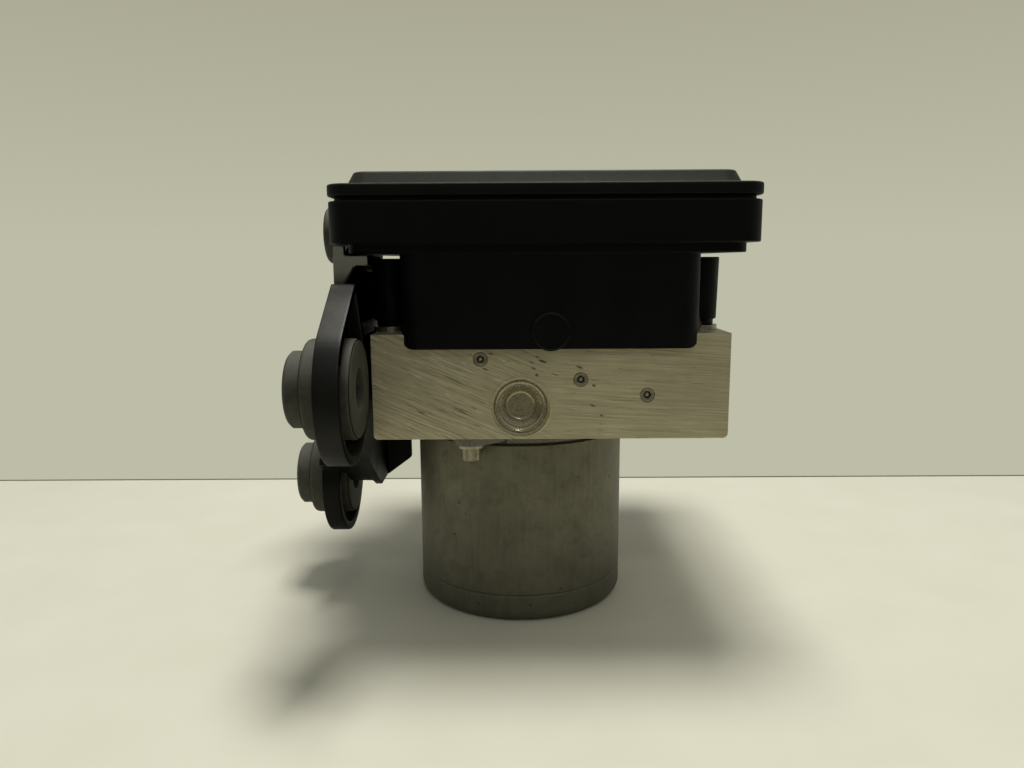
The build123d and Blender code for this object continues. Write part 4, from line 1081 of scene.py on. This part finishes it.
def set_on_sites(tree, given, result, piece, turn):
    """The end of a tree: the piece on every site, turned, realized and given its finish."""
    copies = add(
        tree,
        "GeometryNodeInstanceOnPoints",
        {"Points": given["Geometry"], "Instance": piece, "Rotation": turn},
    )
    real = add(tree, "GeometryNodeRealizeInstances", {"Geometry": copies})
    coated = add(tree, "GeometryNodeSetMaterial", {"Geometry": real, "Material": given["Finish"]})
    connect(tree, coated, result.inputs["Geometry"])


def thread_tree():
    """A ridge that winds along a bore: one coil on each site, turned to the bore's direction."""
    sizes = {
        "Radius": WHEEL_PORT_RADIUS * MM,
        "Pitch": THREAD_PITCH * MM,
        "Turns": WHEEL_PORT_TURNS,
        "Ridge": THREAD_RIDGE * MM,
        "Tilt": math.pi / 2,
    }
    tree, given, result = geometry_tree("port_thread", sizes)
    height = add(tree, "ShaderNodeMath", {0: given["Pitch"], 1: given["Turns"]}, operation="MULTIPLY")
    spiral = add(
        tree,
        "GeometryNodeCurveSpiral",
        {
            "Resolution": 28,
            "Rotations": given["Turns"],
            "Start Radius": given["Radius"],
            "End Radius": given["Radius"],
            "Height": height,
        },
    )
    section = add(tree, "GeometryNodeCurvePrimitiveCircle", {"Resolution": 4, "Radius": given["Ridge"]})
    ridge = add(
        tree, "GeometryNodeCurveToMesh", {"Curve": spiral, "Profile Curve": section, "Fill Caps": True}
    )
    turn = add(tree, "ShaderNodeCombineXYZ", {"Y": given["Tilt"]})
    set_on_sites(tree, given, result, ridge, turn)
    return tree


def expander_tree():
    """The swaged lip and the steel ball of a pressed-in expander plug, on each site."""
    sizes = {"Lip radius": 1.6 * MM, "Lip": 0.2 * MM, "Ball": 0.7 * MM, "Sink": EXPANDER_BALL_SINK * MM}
    tree, given, result = geometry_tree("expander_plug", sizes)
    ring = add(tree, "GeometryNodeCurvePrimitiveCircle", {"Resolution": 40, "Radius": given["Lip radius"]})
    section = add(tree, "GeometryNodeCurvePrimitiveCircle", {"Resolution": 10, "Radius": given["Lip"]})
    lip = add(tree, "GeometryNodeCurveToMesh", {"Curve": ring, "Profile Curve": section})
    ball = add(tree, "GeometryNodeMeshIcoSphere", {"Radius": given["Ball"], "Subdivisions": 3})
    sunk = add(tree, "ShaderNodeCombineXYZ", {"Z": given["Sink"]})
    ball = add(tree, "GeometryNodeTransform", {"Geometry": ball, "Translation": sunk})
    joined = add(tree, "GeometryNodeJoinGeometry", {"Geometry": lip})
    connect(tree, ball, joined.inputs["Geometry"])
    smooth = add(tree, "GeometryNodeSetShadeSmooth", {"Geometry": joined})
    turn = add(tree, "ShaderNodeCombineXYZ", {"X": -math.pi / 2})
    set_on_sites(tree, given, result, smooth, turn)
    return tree


def grown(name, tree, inputs, sites_mm, finish):
    """Runs a tree on one point for each site and keeps the result as a plain mesh."""
    seeds = bpy.data.meshes.new(name + "_sites")
    seeds.from_pydata([[c * MM for c in site] for site in sites_mm], [], [])
    carrier = bpy.data.objects.new(name + "_carrier", seeds)
    bpy.context.scene.collection.objects.link(carrier)
    grower = carrier.modifiers.new(name, "NODES")
    grower.node_group = tree
    given = {**inputs, "Finish": FINISHES[finish]}
    for item in tree.interface.items_tree:
        if item.in_out == "INPUT" and item.name in given:
            grower[item.identifier] = given[item.name]
    bpy.context.view_layer.update()
    evaluated = carrier.evaluated_get(bpy.context.evaluated_depsgraph_get())
    mesh = bpy.data.meshes.new_from_object(evaluated)
    mesh.name = name
    carrier.modifiers.clear()
    bpy.data.objects.remove(carrier)
    finished(mesh, name, finish)


thread = thread_tree()
# each coil starts deep in its port and ends one turn short of the mouth
wheel_start = BLOCK_RIGHT - (WHEEL_PORT_TURNS + 1) * THREAD_PITCH
inlet_start = BLOCK_BOTTOM + (INLET_TURNS + 1) * THREAD_PITCH
wheel_sizes = {"Radius": WHEEL_PORT_RADIUS * MM, "Turns": WHEEL_PORT_TURNS, "Tilt": math.pi / 2}
inlet_sizes = {"Radius": INLET_RADIUS * MM, "Turns": INLET_TURNS, "Tilt": math.pi}
wheel_sites = [(wheel_start, y, WHEEL_PORT_Z) for y in WHEEL_PORT_YS]
inlet_sites = [(x, y, inlet_start) for x, y in INLET_SITES]
grown("wheel_port_threads", thread, wheel_sizes, wheel_sites, "block")
grown("inlet_port_threads", thread, inlet_sizes, inlet_sites, "block")

expander = expander_tree()
for plug_side, plug_place in SIDES:
    sink = {"Sink": -plug_side * EXPANDER_BALL_SINK * MM}
    lips = [(x, plug_side * (BLOCK_BACK - EXPANDER_LIP_DEPTH), z) for x, z in EXPANDER_SITES]
    grown("expander_details_" + plug_place, expander, sink, lips, "fastener")


# ================= stage, light and camera =================

WALL = "#bdbda8"
WALL_TOP = "#a9a792"


def stage_floor():
    """A pale floor whose far part stands for the wall, so that nothing hides the object from behind."""
    mesh = bpy.data.meshes.new("floor")
    reach = FLOOR_REACH * MM
    mesh.from_pydata(
        [(-reach, -reach, 0), (reach, -reach, 0), (reach, reach, 0), (-reach, reach, 0)], [], [(0, 1, 2, 3)]
    )
    obj = bpy.data.objects.new("floor", mesh)
    bpy.context.scene.collection.objects.link(obj)
    made, tree, shader = material("matt_painted_board")
    mottle = grains(tree, 30, detail=5)
    wire(
        tree,
        shader,
        Base_Color=add(
            tree,
            "ShaderNodeMix",
            {
                0: add(tree, "ShaderNodeValToRGB", {"Fac": mottle}, [(0.3, 0.0), (0.7, 1.0)]),
                6: "#d8d7c6",
                7: "#dcdbcb",
            },
            data_type="RGBA",
        ),
        Roughness=0.6,
        Specular_IOR_Level=0.2,
    )
    coords = add(tree, "ShaderNodeTexCoord")
    parts = add(tree, "ShaderNodeSeparateXYZ", {0: coords.outputs["Object"]})
    beyond = add(
        tree,
        "ShaderNodeMath",
        {0: parts.outputs["Y"], 1: FLOOR_EDGE * MM},
        operation="GREATER_THAN",
    )
    # painted shade: a thin dark line on the wall's stand-in where the floor meets the wall
    in_line = add(
        tree,
        "ShaderNodeMath",
        {0: parts.outputs["Y"], 1: (FLOOR_EDGE + 1.0) * MM, 2: 1.1 * MM},
        operation="COMPARE",
    )
    path = add(tree, "ShaderNodeLightPath")
    seen = add(
        tree,
        "ShaderNodeMath",
        {0: path.outputs["Is Camera Ray"], 1: path.outputs["Is Glossy Ray"]},
        operation="MAXIMUM",
    )
    wall = add(
        tree,
        "ShaderNodeEmission",
        {
            "Color": add(tree, "ShaderNodeMix", {0: in_line, 6: WALL, 7: "#6c6a58"}, data_type="RGBA"),
            "Strength": 1.0,
        },
    )
    mixed = add(
        tree,
        "ShaderNodeMixShader",
        {
            0: add(tree, "ShaderNodeMath", {0: beyond, 1: seen}, operation="MULTIPLY"),
            1: shader.outputs[0],
            2: wall.outputs[0],
        },
    )
    # away from the camera's own rays, the near part of the board falls into the room's shade
    shade = add(tree, "ShaderNodeBsdfDiffuse", {"Color": linear("#5c5b4e")})
    near = add(
        tree,
        "ShaderNodeValToRGB",
        {
            "Fac": add(
                tree,
                "ShaderNodeMath",
                {0: parts.outputs["Y"], 1: -4.0, 2: -0.2},
                operation="MULTIPLY_ADD",
            ),
        },
        [(0.15, 0.0), (0.85, 1.0)],
    )
    unseen = add(tree, "ShaderNodeMath", {0: 1.0, 1: path.outputs["Is Camera Ray"]}, operation="SUBTRACT")
    mixed = add(
        tree,
        "ShaderNodeMixShader",
        {
            0: add(tree, "ShaderNodeMath", {0: near, 1: unseen}, operation="MULTIPLY"),
            1: mixed.outputs[0],
            2: shade.outputs[0],
        },
    )
    output = next(n for n in tree.nodes if n.type == "OUTPUT_MATERIAL")
    tree.links.new(mixed.outputs[0], output.inputs["Surface"])
    mesh.materials.append(made)


def world_light(back, front):
    """Light from a pale room, darker towards the front, and the wall's colour where the camera sees it."""
    world = bpy.data.worlds.new("studio")
    bpy.context.scene.world = world
    world.use_nodes = True
    tree = world.node_tree
    tree.nodes.clear()
    coords = add(tree, "ShaderNodeTexCoord")
    parts = add(tree, "ShaderNodeSeparateXYZ", {0: coords.outputs["Generated"]})
    rearward = add(
        tree,
        "ShaderNodeValToRGB",
        {
            "Fac": add(
                tree,
                "ShaderNodeMath",
                {0: parts.outputs["Y"], 1: 0.5, 2: 0.5},
                operation="MULTIPLY_ADD",
            ),
        },
        [(0.10, 0.0), (0.50, 1.0)],
    )
    level = add(tree, "ShaderNodeMath", {0: rearward, 1: back - front, 2: front}, operation="MULTIPLY_ADD")
    path = add(tree, "ShaderNodeLightPath")
    seen = add(
        tree,
        "ShaderNodeMath",
        {0: path.outputs["Is Camera Ray"], 1: path.outputs["Is Transmission Ray"]},
        operation="MAXIMUM",
    )
    light = add(tree, "ShaderNodeBackground", {"Color": linear("#fcfdf3"), "Strength": level})
    fading = add(tree, "ShaderNodeValToRGB", {"Fac": parts.outputs["Z"]}, [(0.02, WALL), (0.32, WALL_TOP)])
    shown = add(tree, "ShaderNodeBackground", {"Color": fading, "Strength": 1.0})
    mixed = add(tree, "ShaderNodeMixShader", {0: seen, 1: light.outputs[0], 2: shown.outputs[0]})
    out = add(tree, "ShaderNodeOutputWorld")
    tree.links.new(mixed.outputs[0], out.inputs["Surface"])


def area_lamp(name, place_mm, target_mm, size_mm, watts, colour):
    """A soft square lamp that looks at a point."""
    data = bpy.data.lights.new(name, "AREA")
    data.shape = "SQUARE"
    data.size = size_mm * MM
    data.energy = watts
    data.color = linear(colour)[:3]
    lamp = bpy.data.objects.new(name, data)
    bpy.context.scene.collection.objects.link(lamp)
    at = Vector(place_mm) * MM
    to = Vector(target_mm) * MM
    lamp.matrix_world = Matrix.Translation(at) @ (to - at).to_track_quat("-Z", "Y").to_matrix().to_4x4()


def set_camera():
    """The camera, for a frame of 1024 by 768 pixels."""
    data = bpy.data.cameras.new("camera")
    camera = bpy.data.objects.new("camera", data)
    bpy.context.scene.collection.objects.link(camera)
    data.sensor_width = 36.0
    data.lens = 27.12
    data.clip_start = 0.01
    pitch, roll, yaw = 0.1586, -0.0059, -0.0037
    forward = Vector((math.sin(yaw) * math.cos(pitch), math.cos(yaw) * math.cos(pitch), -math.sin(pitch)))
    right = Vector((math.cos(yaw), -math.sin(yaw), 0))
    up = right.cross(forward)
    right_rolled = right * math.cos(roll) + up * math.sin(roll)
    up_rolled = up * math.cos(roll) - right * math.sin(roll)
    turn = Matrix((right_rolled, up_rolled, -forward)).transposed()
    place_mm = Vector((-1.5895, -252.9475, 108.5022))
    camera.matrix_world = Matrix.Translation(place_mm * MM) @ turn.to_4x4()
    bpy.context.scene.camera = camera


bpy.context.scene.view_settings.view_transform = "Standard"
set_camera()
stage_floor()
world_light(0.35, 0.185)
area_lamp("ceiling_lamp", (25, 70, 900), (5, 0, 60), 240, 6.4, "#fffcf6")
area_lamp("window", (90, -650, 650), (5, 0, 80), 70, 0.42, "#fffdf4")
